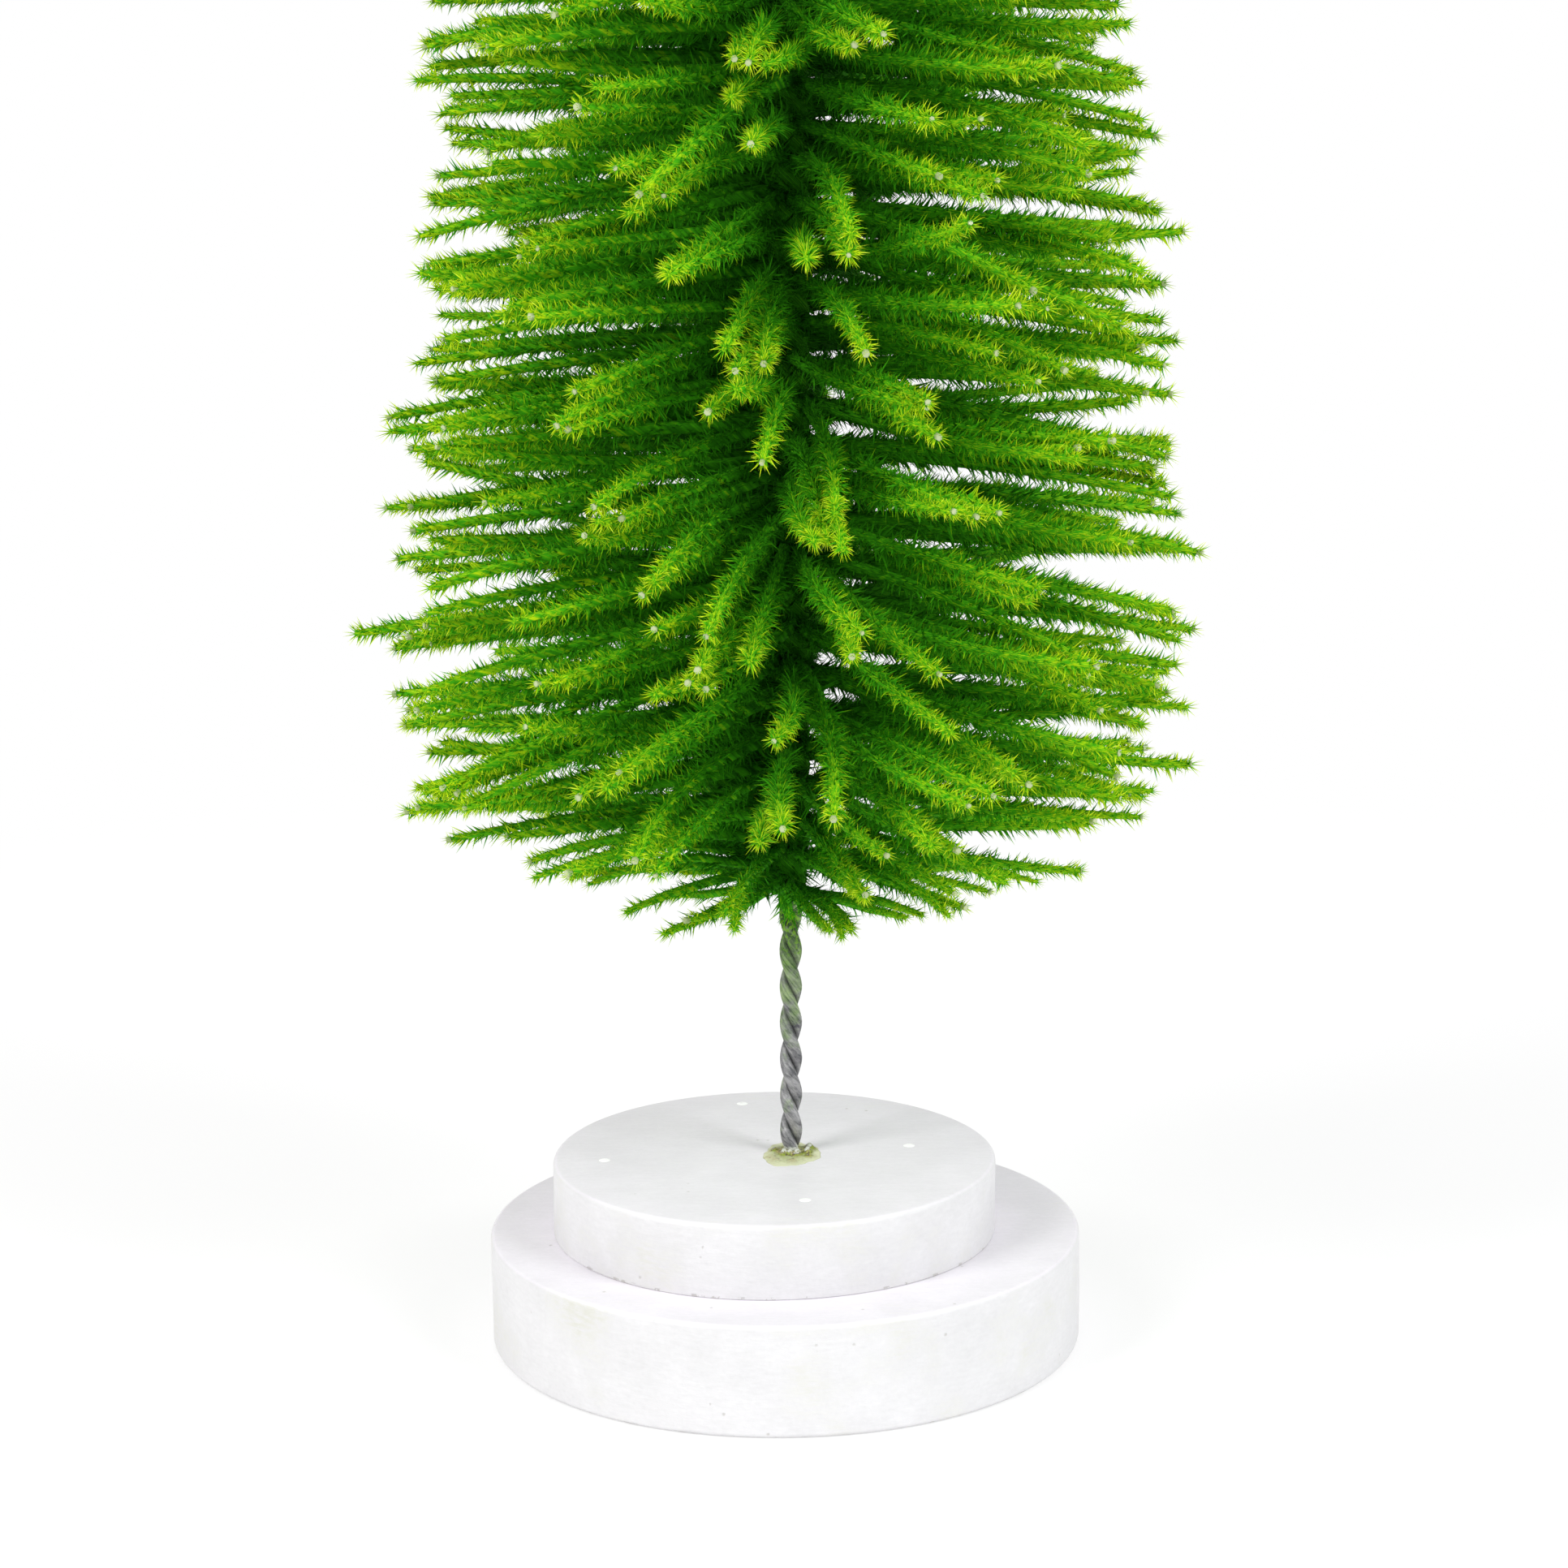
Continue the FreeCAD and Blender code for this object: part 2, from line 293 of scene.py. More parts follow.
PIT_GREY = (0.36, 0.34, 0.3, 1.0)
PAINT_ROUGHNESSES = (0.42, 0.62)
PAINT_RELIEF = 0.22 * MM
LEVEL_SLOPES = (0.5, 0.9)
RIPPLE_SCALES = (420.0, 420.0, 1500.0)
BRUSH_SCALES = (230.0, 1100.0, 230.0)
BRUSH_DEPTH = 0.65
GRAIN_SCALE = 1300.0
LUMP_SCALE = 120.0
PAINT_TONES = (0.3, 0.7)
SMUDGE_SCALE = 45.0
SMUDGE_SHARE = 0.8
SMUDGE_EDGE = (0.52, 0.7)
SMUDGE_HOLLOWS = (0.35, 0.6)
PIT_SCALE = 330.0
PIT_EDGE = (0.04, 0.12)
PITTED_SCALE = 110.0
PITTED_BEYOND = 0.63
CHIP_SCALE = 260.0
CHIP_BEYOND = 0.58


def make_paint():
    bench = new_finish("brushed_white_paint")
    where = bench.place()
    facing = bench.add("ShaderNodeNewGeometry", output="Normal")
    level = bench.spread(bench.part(facing, "Z"), *LEVEL_SLOPES)
    side_ripple = bench.noise(bench.scaled(where, RIPPLE_SCALES), 1.0, 4.0, 0.6)
    brush_marks = bench.noise(bench.scaled(where, BRUSH_SCALES), 1.0, 4.0, 0.6)
    lumps = bench.noise(where, LUMP_SCALE, 3.0)
    ripple = side_ripple * (1.0 - level) + brush_marks * level * BRUSH_DEPTH
    grain = bench.noise(where, GRAIN_SCALE, 2.0)
    cell = bench.add("ShaderNodeTexVoronoi", {"Vector": where, "Scale": PIT_SCALE})
    pitted = bench.noise(where, PITTED_SCALE, 1.0).beyond(PITTED_BEYOND)
    pits = (1.0 - bench.spread(cell, *PIT_EDGE)) * pitted
    height = bench.part(where, "Z")
    from_joint = (height - JOINT_HEIGHT - CHIP_BAND / 2).worked("ABSOLUTE")
    from_edge = height.at_most(from_joint)
    chipped = bench.noise(where, CHIP_SCALE, 4.0, 0.75).beyond(CHIP_BEYOND)
    chips = (1.0 - bench.spread(from_edge, CHIP_BAND / 2, CHIP_BAND)) * (1.0 - level) * chipped
    pits = pits.at_least(chips)
    tone = bench.spread(ripple * 0.4 + grain * 0.2 + lumps * 0.4, *PAINT_TONES)
    white = bench.blend(tone, PAINT_SHADE, PAINT_WHITE)
    smudge = bench.spread(bench.noise(where, SMUDGE_SCALE, 3.0, 0.6), *SMUDGE_EDGE)
    smudge = smudge * bench.spread(ripple, *SMUDGE_HOLLOWS) * SMUDGE_SHARE
    white = bench.blend(smudge, white, PAINT_SMUDGE)
    # Painted shade: the sides are tinted darker than the tops.
    white = bench.scaled(white, bench.blend(level, SIDE_SHADE_TINT, TOP_TINT))
    thickness = ripple * 0.5 + grain * 0.25 + lumps * 0.7 - pits * 0.8
    sockets = {
        "Base Color": bench.blend(pits * 0.5, white, PIT_GREY),
        "Roughness": bench.spread(lumps, *PAINT_TONES, *PAINT_ROUGHNESSES),
        "Normal": bench.relief(thickness, 0.5, PAINT_RELIEF),
    }
    return bench.finished(sockets)


def rim_arc(radius, height, rounding, start):
    """A quarter turn of the outline, anticlockwise from start, in an outer corner."""
    inset = radius - rounding
    turns = [start + n / RIM_STEPS * math.pi / 2 for n in range(RIM_STEPS + 1)]
    return [(inset + rounding * math.cos(a), height + rounding * math.sin(a)) for a in turns]


def disc_outline(radius, low, high, foot_rounding):
    """Radius and height from the underside's middle, round both rims, to the top's."""
    flat_shares = (0.0, 0.35, 0.7)
    side_shares = (0.25, 0.5, 0.75)
    inner = radius - RIM_ROUNDING
    outline = [(inner * share, low) for share in flat_shares]
    outline += rim_arc(radius, low + foot_rounding, foot_rounding, -math.pi / 2)
    outline += [(radius, low + (high - low) * share) for share in side_shares]
    outline += rim_arc(radius, high - RIM_ROUNDING, RIM_ROUNDING, 0.0)
    return outline + [(inner * share, high) for share in reversed(flat_shares)]


def turned(outline, centre, segments, wobble=0.0):
    """Vertices and faces of the outline spun about an upright axis, closed by points."""
    vertices = [(centre.x, centre.y, outline[0][1]), (centre.x, centre.y, outline[-1][1])]
    rings = []
    for radius, height in outline[1:-1]:
        rings.append(len(vertices))
        for step in range(segments):
            angle = math.tau * step / segments
            swing = math.sin(3 * angle + 1.3) + 0.6 * math.sin(5 * angle + height / MM / 4)
            reach = radius - wobble + wobble * swing / 2
            x, y = reach * math.cos(angle), reach * math.sin(angle)
            vertices.append((centre.x + x, centre.y + y, height))
    faces = []
    for step in range(segments):
        after = (step + 1) % segments
        faces.append((0, rings[0] + after, rings[0] + step))
        faces.append((1, rings[-1] + step, rings[-1] + after))
        for lower, upper in zip(rings, rings[1:]):
            faces.append((lower + step, lower + after, upper + after, upper + step))
    return vertices, faces


def place_piece(name, mesh, finishes, slot, *nodes):
    """Puts a finished mesh in the scene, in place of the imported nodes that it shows."""
    piece = put_in_scene(name, mesh)
    for finish in finishes:
        mesh.materials.append(finish)
    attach(piece, "root")
    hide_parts(*nodes)


def make_disc(name, node, finish, foot_rounding):
    low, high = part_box(node)
    centre = (Vector(low) + Vector(high)) / 2
    outline = disc_outline((high[0] - low[0]) / 2, low[2], high[2], foot_rounding)
    vertices, faces = turned(outline, centre, DISC_SEGMENTS, DISC_WOBBLE)
    mesh = new_mesh(name, vertices, faces, smooth=True)
    place_piece(name, mesh, [finish], "painted_wood", node)


paint = make_paint()
make_disc("plinth_disc", "base_plinth", paint, RIM_ROUNDING)
make_disc("cap_disc", "base_cap", paint, JOINT_ROUNDING)


# Four brads hold the cap on the plinth. Their heads are driven flush and touched in
# with filler, which shows as four small dots, brighter than the brushed paint.
DOT_RADIUS = 1.0 * MM
DOT_RISE = 0.12 * MM
DOT_OUTLINE = [(0.9, -1.0), (1.0, 0.0), (0.75, 0.8), (0.35, 1.0), (0.0, 1.0)]
DOT_SEGMENTS = 20
DOT_WHITE = (0.97, 0.97, 0.97, 1.0)
DOT_GREY = (0.8, 0.8, 0.8, 1.0)
SPECKLE_SCALE = 1500.0
SPECKLE_EDGE = (0.55, 0.8)
SPECKLE_RELIEF = 0.1 * MM


def make_dot_finish():
    bench = new_finish("bright_filler")
    where = bench.place()
    speckle = bench.noise(where, SPECKLE_SCALE, 2.0)
    colour = bench.blend(bench.spread(speckle, *SPECKLE_EDGE), DOT_WHITE, DOT_GREY)
    relief = bench.relief(speckle, 0.3, SPECKLE_RELIEF)
    return bench.finished({"Base Color": colour, "Roughness": 0.3, "Normal": relief})


def loose_parts(mesh):
    """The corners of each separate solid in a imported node's mesh."""
    parts = []
    for face in mesh.polygons:
        corners = [mesh.vertices[index].co for index in face.vertices]
        part = {tuple(round(c / MM, 3) for c in corner): corner.copy() for corner in corners}
        apart = [other for other in parts if not other.keys() & part.keys()]
        for other in parts:
            if other.keys() & part.keys():
                part |= other
        parts = apart + [part]
    return [list(part.values()) for part in parts]


def make_brads():
    vertices, faces = [], []
    for corners in loose_parts(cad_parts["brad_nails"].data):
        low = Vector([min(c[axis] for c in corners) for axis in range(3)])
        high = Vector([max(c[axis] for c in corners) for axis in range(3)])
        centre = (low + high) / 2
        shank = min(high.x - low.x, high.y - low.y) / 2
        outline = [(0.0, low.z), (shank / 2, low.z), (shank, low.z + shank)]
        outline.append((shank, high.z - DOT_RISE))
        outline += [(DOT_RADIUS * out, high.z + DOT_RISE * up) for out, up in DOT_OUTLINE]
        brad_vertices, brad_faces = turned(outline, centre, DOT_SEGMENTS)
        faces += [[len(vertices) + index for index in face] for face in brad_faces]
        vertices += brad_vertices
    mesh = new_mesh("brad_set", vertices, faces)
    place_piece("brad_set", mesh, [make_dot_finish()], "brad_steel", "brad_nails")


make_brads()


# The trunk is two galvanised wires twisted hard together, left handed, so that each
# is flattened against the other. Low down they are bare and dull, and the crevice between
# them is darkened with painted shade. Higher up green dust from the flock has settled on
# them, with dark green patches near the crown that are partly dust and partly painted
# shade, and from the crown's foot up they are coloured dark green as painted shade.
TRUNK_FOOT = Vector((1.25, 0.7, 31.75)) * MM
TRUNK_LEAN = math.radians(0.35)
TRUNK_HEIGHT = 425.4 * MM
TRUNK_EMBED = 25.4 * MM
BARE_LENGTH = 45.2 * MM
TWIST_LEAD = 12.7 * MM
TWIST_START = math.radians(-63.5)
WIRE_THICKNESS = 1.9 * MM
WIRE_HALF_WIDTH = 1.22 * MM
BARE_GAP = 0.04 * MM
CLAMPED_GAP = 1.0 * MM
WIRE_STEP = 0.8 * MM
WIRE_SIDES = 16
WIRE_STRIPS = 8
ZINC_LIGHT = (0.39, 0.385, 0.39, 1.0)
ZINC_DARK = (0.095, 0.096, 0.104, 1.0)
GROOVE_SHADE = (0.03, 0.032, 0.03, 1.0)
GROOVE_DEPTHS = (0.1 * MM, 0.75 * MM)
GROOVE_SHADE_SHARE = 0.62
DUST_PALE = (0.32, 0.45, 0.17, 1.0)
DUST_DARK = (0.05, 0.12, 0.015, 1.0)
CROWN_SHADE_GREEN = (0.008, 0.05, 0.002, 1.0)
FLECK_GREEN = (0.2, 0.43, 0.02, 1.0)
GLUE_FROST_AND_GLINT = (0.6, 0.62, 0.55, 1.0)
FROST_GLINT_FADES = (33.0 * MM, 35.0 * MM)
DUST_GATHERS = (47.0 * MM, 78.0 * MM)
MURK_GATHERS = (62.0 * MM, 72.0 * MM)
CROWN_DARKENS = (77.0 * MM, 81.0 * MM)
CLOUD_SCALE = 620.0
CLOUD_STRETCH = (1.0, 1.0, 0.7)
LINE_SCALE = 2400.0
LINE_STRETCH = (1.0, 1.0, 0.05)
ZINC_TONES = (0.38, 0.62)
ZINC_ROUGHNESSES = (0.6, 0.42)
ZINC_METALLIC = 0.45
FROST_GLINT_EDGE = (0.9, 0.98)
PATCH_SCALE = 300.0
DUST_EDGE = (0.52, 0.76)
DUST_SHARE = 0.8
MURK_SCALE = 650.0
MURK_EDGE = (0.5, 0.6)
FLECK_SCALE = 1400.0
FLECK_EDGE = (0.55, 0.62)
MURK_SHARE = 0.85
WIRE_RELIEF = 0.15 * MM
END_PLACES = (0.25, 0.75)
END_LEVEL = 0.987
END_SIZE = 0.008
STRIP_MARGIN = 0.03
STRIP_FOOT = 0.01
STRIP_LENGTH = 0.95

UPWARD = Vector((0.0, 0.0, 1.0))

tree_place = Matrix.Translation(TRUNK_FOOT) @ Matrix.Rotation(TRUNK_LEAN, 4, "Y")


def make_wire_finish():
    """The attribute unwound holds each point's place on the wire as if it were straight."""
    bench = new_finish("dusty_galvanised_wire")
    unwound = bench.attribute("unwound", "Vector")
    place = bench.place()
    height = bench.part(place, "Z")
    cloud = bench.noise(bench.scaled(unwound, CLOUD_STRETCH), CLOUD_SCALE, 5.0, 0.7)
    lines = bench.noise(bench.scaled(unwound, LINE_STRETCH), LINE_SCALE, 2.0)
    zinc_tone = bench.spread(cloud * 0.9 + lines * 0.1, *ZINC_TONES)
    zinc = bench.blend(zinc_tone, ZINC_DARK, ZINC_LIGHT)
    rise = bench.spread(height, *DUST_GATHERS)
    patch = bench.noise(place, PATCH_SCALE, 4.0, 0.65)
    dust = bench.spread(patch + rise * 0.38, *DUST_EDGE)
    # Pale silver near the wire's foot: partly glue clinging to it, partly painted highlight.
    low = 1.0 - bench.spread(height, *FROST_GLINT_FADES)
    frost_and_glint = bench.spread(cloud + low * 0.5, *FROST_GLINT_EDGE) * 0.8
    grime = bench.spread(lines * 0.5 + cloud * 0.5, *ZINC_TONES)
    # Painted shade: from the crown's foot up the wire is coloured dark green.
    crown_shade = bench.spread(height, *CROWN_DARKENS)
    green = bench.blend(crown_shade, bench.blend(grime, DUST_DARK, DUST_PALE), CROWN_SHADE_GREEN)
    # Dark green patches towards the crown's foot, partly green dust and partly painted shade.
    near = bench.spread(height, *MURK_GATHERS)
    dust_and_shade = bench.noise(place, MURK_SCALE, 3.0, 0.6) + near * 0.12
    dust_and_shade = bench.spread(dust_and_shade, *MURK_EDGE) * near
    flecks = bench.noise(place, FLECK_SCALE, 2.0, 0.6) + near * 0.06
    flecks = bench.spread(flecks, *FLECK_EDGE) * near
    # Painted shade: the crevice where each wire lies against the other is darkened.
    outward = bench.attribute("outward")
    groove_shade = (1.0 - bench.spread(outward, *GROOVE_DEPTHS)) * GROOVE_SHADE_SHARE
    dusty = bench.blend(dust * DUST_SHARE, zinc, green)
    dusty = bench.blend(dust_and_shade * MURK_SHARE, dusty, CROWN_SHADE_GREEN)
    dusty = bench.blend(flecks * MURK_SHARE, dusty, FLECK_GREEN)
    bare = bench.blend(groove_shade, dusty, GROOVE_SHADE)
    surface = cloud * 0.4 + lines * 0.4 + dust * 0.3
    sockets = {
        "Base Color": bench.blend(frost_and_glint, bare, GLUE_FROST_AND_GLINT),
        "Metallic": (1.0 - dust) * ZINC_METALLIC,
        "Roughness": bench.spread(zinc_tone, 0.0, 1.0, *ZINC_ROUGHNESSES) + dust * 0.3,
        "Normal": bench.relief(surface, 0.5, WIRE_RELIEF),
    }
    return bench.finished(sockets)


def heading(angle):
    return Vector((math.cos(angle), math.sin(angle), 0.0))


def beside(way):
    """The level way that lies a quarter turn to the left of this one."""
    return Vector((-way.y, way.x, 0.0))


def wire_section(gap):
    """Outward and sideways places round a wire, which is cut off flat at the gap."""
    inner = gap / 2
    middle = inner + WIRE_THICKNESS - WIRE_HALF_WIDTH
    turns = [math.tau * (side + 0.5) / WIRE_SIDES for side in range(WIRE_SIDES)]
    return [
        (max(inner, middle + WIRE_HALF_WIDTH * math.cos(a)), WIRE_HALF_WIDTH * math.sin(a))
        for a in turns
    ]


def noted(mesh, name, values):
    """Keeps one number for each vertex in the mesh, for a node tree to read."""
    mesh.attributes.new(name, "FLOAT", "POINT").data.foreach_set("value", values)


def wire_mesh(name, opposite):
    """The flattened section, wound round the trunk's axis from its foot to its top."""
    count = round((TRUNK_EMBED + TRUNK_HEIGHT) / WIRE_STEP)
    vertices, unwound, outwards = [], [], []
    for ring in range(count + 1):
        height = (TRUNK_EMBED + TRUNK_HEIGHT) * ring / count - TRUNK_EMBED
        opened = min(max((height - BARE_LENGTH) / TWIST_LEAD * 2 + 0.5, 0.0), 1.0)
        angle = TWIST_START + opposite - math.tau * height / TWIST_LEAD
        out = heading(angle)
        aside = beside(out)
        section = wire_section(BARE_GAP + (CLAMPED_GAP - BARE_GAP) * opened)
        for outward, sideways in section:
            place = UPWARD * height + out * outward + aside * sideways
            vertices.append(tree_place @ place)
            unwound += [outward + opposite, sideways, height]
            outwards.append(outward)
    faces = [tuple(reversed(range(WIRE_SIDES)))]
    for ring in range(count):
        low = ring * WIRE_SIDES
        for side in range(WIRE_SIDES):
            after = low + (side + 1) % WIRE_SIDES
            faces.append((low + side, after, after + WIRE_SIDES, low + side + WIRE_SIDES))
    faces.append(tuple(range(count * WIRE_SIDES, (count + 1) * WIRE_SIDES)))
    mesh = new_mesh(name, vertices, faces, smooth=True)
    mesh.attributes.new("unwound", "FLOAT_VECTOR", "POINT").data.foreach_set("vector", unwound)
    noted(mesh, "outward", outwards)
    map_in_strips(mesh, count)
    return mesh


def map_in_strips(mesh, count):
    """Lays the wire on its map as upright strips, and both ends along the map's top."""
    layer = mesh.uv_layers.new(name="OFBake")
    strip_rings = math.ceil(count / WIRE_STRIPS)
    for number, face in enumerate(mesh.polygons):
        ring, side = divmod(number - 1, WIRE_SIDES)
        strip, step = divmod(ring, strip_rings)
        for corner, loop in enumerate(face.loop_indices):
            turn = math.tau * corner / WIRE_SIDES
            end = END_PLACES[number > 0]
            place = (end + END_SIZE * math.cos(turn), END_LEVEL + END_SIZE * math.sin(turn))
            if len(face.vertices) == 4:
                across = (side + (corner in (1, 2))) / WIRE_SIDES
                across = STRIP_MARGIN + (1 - 2 * STRIP_MARGIN) * across
                rise = (step + (corner > 1)) / strip_rings
                place = ((strip + across) / WIRE_STRIPS, STRIP_FOOT + STRIP_LENGTH * rise)
            layer.uv[loop].vector = place


def make_trunk():
    finish = make_wire_finish()
    for label, opposite in (("a", 0.0), ("b", math.pi)):
        name = f"twisted_wire_{label}"
        mesh = wire_mesh(name, opposite)
        place_piece(name, mesh, [finish], "twisted_steel", f"trunk_wire_{label}")


make_trunk()


# A bead of clear glue was squeezed round the trunk's foot and ran a little forwards.
# It has dried to a thin uneven skin, olive with flock dust and fading to nothing at
# its edge, with a few lumps that cling to the wires. Their pale silver is partly whitish
# dried glue and partly painted highlight for their glints.
BEAD_HALF_WIDTH = 5.4 * MM
BEAD_HALF_LENGTH = 8.0 * MM
BEAD_SHIFT = -1.1 * MM
BEAD_HEIGHT = 1.3 * MM
BEAD_SKIN = 0.16
BEAD_SEGMENTS = 120
BEAD_RINGS = 30
BEAD_EDGE = 0.88
BEAD_WAVES = [(0.05, 2, 0.6), (0.05, 3, 2.1), (0.025, 7, 4.0), (0.015, 17, 0.0)]
MOUND_RISE = 0.5
MOUND_WIDTH = 3.0 * MM
LUMP_STEEPNESS = 2.2
LUMPS = [
    (-0.35, 3.1, 1.0, 0.95), (0.45, 3.6, 1.3, 0.9), (-1.15, 2.5, 0.8, 0.95),
    (-1.65, 2.4, 0.6, 0.75), (-2.1, 2.5, 0.8, 0.9), (3.0, 3.0, 1.1, 0.5),
    (1.5, 2.9, 1.2, 0.6), (-0.8, 4.3, 0.9, 0.4), (0.1, 4.6, 1.0, 0.6),
]
GLUE_TAN = (0.36, 0.3, 0.13, 1.0)
GLUE_OLIVE = (0.22, 0.27, 0.03, 1.0)
GLUE_BROWN = (0.075, 0.055, 0.02, 1.0)
GLUE_EDGE = (0.63, 0.64, 0.44, 1.0)
GLUE_CLOUDS = 420.0
GLUE_GRIT = 1700.0
TAN_EDGE = (0.44, 0.56)
BROWN_EDGE = (0.58, 0.68)
THIN_EDGE = (0.04, 0.28)
FROSTED_GLINT_EDGE = (0.62, 0.82)
GLUE_DEPTHS = (0.2, 0.8)
GLUE_ROUGHNESSES = (0.7, 0.25)
GLUE_RELIEF = 0.25 * MM


def make_glue_finish():
    """The attribute depth is 0 at the bead's edge and grows with the glue's thickness."""
    bench = new_finish("dusty_dried_glue")
    where = bench.place()
    depth = bench.attribute("depth")
    cloud = bench.noise(where, GLUE_CLOUDS, 4.0, 0.65)
    grit = bench.noise(where, GLUE_GRIT, 3.0, 0.6)
    tan = bench.blend(bench.spread(cloud, *TAN_EDGE), GLUE_OLIVE, GLUE_TAN)
    brown = bench.spread(grit + depth * 0.25, *BROWN_EDGE)
    body = bench.blend(brown, tan, GLUE_BROWN)
    full = bench.spread(depth + (cloud - 0.5) * 0.5, *THIN_EDGE)
    # Pale silver on the thickest lumps: partly whitish dried glue, partly painted highlight.
    frosted_and_glint = bench.spread(depth + (grit - 0.5) * 2.0, *FROSTED_GLINT_EDGE) * 0.9
    sockets = {
        "Base Color": bench.blend(frosted_and_glint, bench.blend(full, GLUE_EDGE, body), GLUE_FROST_AND_GLINT),
        "Roughness": bench.spread(depth, *GLUE_DEPTHS, *GLUE_ROUGHNESSES),
        "Normal": bench.relief(cloud * 0.5 + grit * 0.5, 0.7, GLUE_RELIEF),
    }
    return bench.finished(sockets)


def bead_edge(angle):
    """How far the bead runs out in this direction, as a share of its half sizes."""
    waves = [size * math.sin(count * angle + start) for size, count, start in BEAD_WAVES]
    return BEAD_EDGE + sum(waves)


def bead_thickness(x, y, share):
    """The glue's thickness there, as a share of the bead's height."""
    reach = math.hypot(x, y)
    skin = BEAD_SKIN * (1 - share**4)
    thickness = skin + MOUND_RISE * (1 - share) * math.exp(-((reach / MOUND_WIDTH) ** 2))
    for angle, distance, width, rise in LUMPS:
        away_x = x - distance * MM * math.cos(angle)
        away_y = y - distance * MM * math.sin(angle)
        away = math.hypot(away_x, away_y) / (width * MM)
        thickness += rise * math.exp(-LUMP_STEEPNESS * away**2) * (1 - share**6)
    return min(thickness, 1.0)


def make_bead():
    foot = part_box("glue_bead")[0][2]
    middle = TRUNK_FOOT + Vector((0.0, BEAD_SHIFT, 0.0))
    places = [(0.0, 0.0)]
    for ring in range(1, BEAD_RINGS + 1):
        for step in range(BEAD_SEGMENTS):
            angle = math.tau * step / BEAD_SEGMENTS
            places.append((angle, ring / BEAD_RINGS))
    vertices, depths = [], []
    for angle, share in places:
        x = BEAD_HALF_WIDTH * bead_edge(angle) * share * math.cos(angle)
        y = BEAD_HALF_LENGTH * bead_edge(angle) * share * math.sin(angle)
        depth = bead_thickness(x, y + BEAD_SHIFT, share)
        vertices.append((middle.x + x, middle.y + y, foot + BEAD_HEIGHT * depth))
        depths.append(depth)
    vertices.append((middle.x, middle.y, foot))
    depths.append(0.0)
    rim = 1 + (BEAD_RINGS - 1) * BEAD_SEGMENTS
    faces = []
    for step in range(BEAD_SEGMENTS):
        after = (step + 1) % BEAD_SEGMENTS
        faces.append((0, 1 + step, 1 + after))
        faces.append((len(vertices) - 1, rim + after, rim + step))
        for ring in range(BEAD_RINGS - 1):
            inner = 1 + ring * BEAD_SEGMENTS
            outer = inner + BEAD_SEGMENTS
            faces.append((inner + step, outer + step, outer + after, inner + after))
    mesh = new_mesh("glue_mound", vertices, faces, smooth=True)
    noted(mesh, "depth", depths)
    place_piece("glue_mound", mesh, [make_glue_finish()], "dried_glue", "glue_bead")


make_bead()


# The filaments are pale stems covered in pile. Each is crushed between the wires and so
# makes two opposite branches, which sag a little and lean together in loose tufts. They
# are cut to the crown's outline, and are short at its top and thin at its foot.
FILAMENT_PITCH = 1.85 * MM
FILAMENTS_TO_A_SOLID = 3
SHOULDER_REACH = 7.0 * MM
LEAST_FREE = 3.5 * MM
CROWN_RADIUS = 71.0 * MM
SKIRT_RADIUS = 22.0 * MM
SKIRT_HEIGHT = 33.0 * MM
TIP_RADIUS = 7.0 * MM
TOP_TAPER = 28.0 * MM
TOP_SHARE = 0.4
CROWN_POWER = 1.55
DROOP = 4.0
SKIRT_DROOP = 5.0
SKIRT_THINNING = 0.3
LEAST_GIRTH = 0.84
GIRTH_WANDER = 0.22
GIRTH_SHUFFLE = 7
DROOP_WANDER = 3.0
FAN_WANDER = 4.0
EXTRA_FAN_WANDER = 24.0
EXTRA_DROOP_WANDER = 8.0
REACH_WANDER_SHARE = 0.09
EXTRA_REACH_WANDER_SHARE = 0.2
TUFT_PULL = (0.1, 0.75)
TUFT_SPACING = 2.5 * MM
BRANCH_BOW = 2.4 * MM
BOW_LIFTS = (-0.6, 1)
BENT_SHARE = 0.07
BENT_BOW = 4.5 * MM
BRANCH_STEP = 9.0 * MM
CROOK_PLACES = [0.3 * MM, 2.4 * MM]
STEM_SHOWS = 0.5 * MM
TIP_PLACES = [2.2 * MM, 0.9 * MM, STEM_SHOWS]
COLLAR_WAYS = 4
COLLAR_RADIUS = 2.2 * MM
COLLAR_PINCH = 0.2
COLLAR_STEPS = 14
COLLAR_REACHES = (3.2 * MM, 12.0 * MM)
COLLAR_LEFTS = (2.2 * MM, 24.0 * MM)
COLLAR_SKIRT = 3.5 * MM
COLLAR_FADE = 10.0 * MM


def crown_reach(height):
    above_skirt = height - BARE_LENGTH - SKIRT_HEIGHT
    if above_skirt < 0:
        rise = 1 - (above_skirt / SKIRT_HEIGHT) ** 2
        return SKIRT_RADIUS + (CROWN_RADIUS - SKIRT_RADIUS) * rise
    crown_height = TRUNK_HEIGHT - BARE_LENGTH - SKIRT_HEIGHT
    narrowing = 1 - (above_skirt / crown_height) ** CROWN_POWER
    return TIP_RADIUS + (CROWN_RADIUS - TIP_RADIUS) * narrowing


def top_share(height):
    """The share of its reach that a branch keeps near the tree's pointed top."""
    return TOP_SHARE + (1 - TOP_SHARE) * min((TRUNK_HEIGHT - height) / TOP_TAPER, 1.0)


def skirt_depth(height):
    return max(0.0, 1 - (height - BARE_LENGTH) / SKIRT_HEIGHT)


def branch_girth(height, lot):
    """A share of the full thickness, less in the skirt and by each branch's lot."""
    own = LEAST_GIRTH + GIRTH_WANDER * (lot * GIRTH_SHUFFLE % 1)
    return (1 - SKIRT_THINNING * skirt_depth(height)) * own


def droop_angle(height):
    return DROOP + SKIRT_DROOP * skirt_depth(height) ** 3


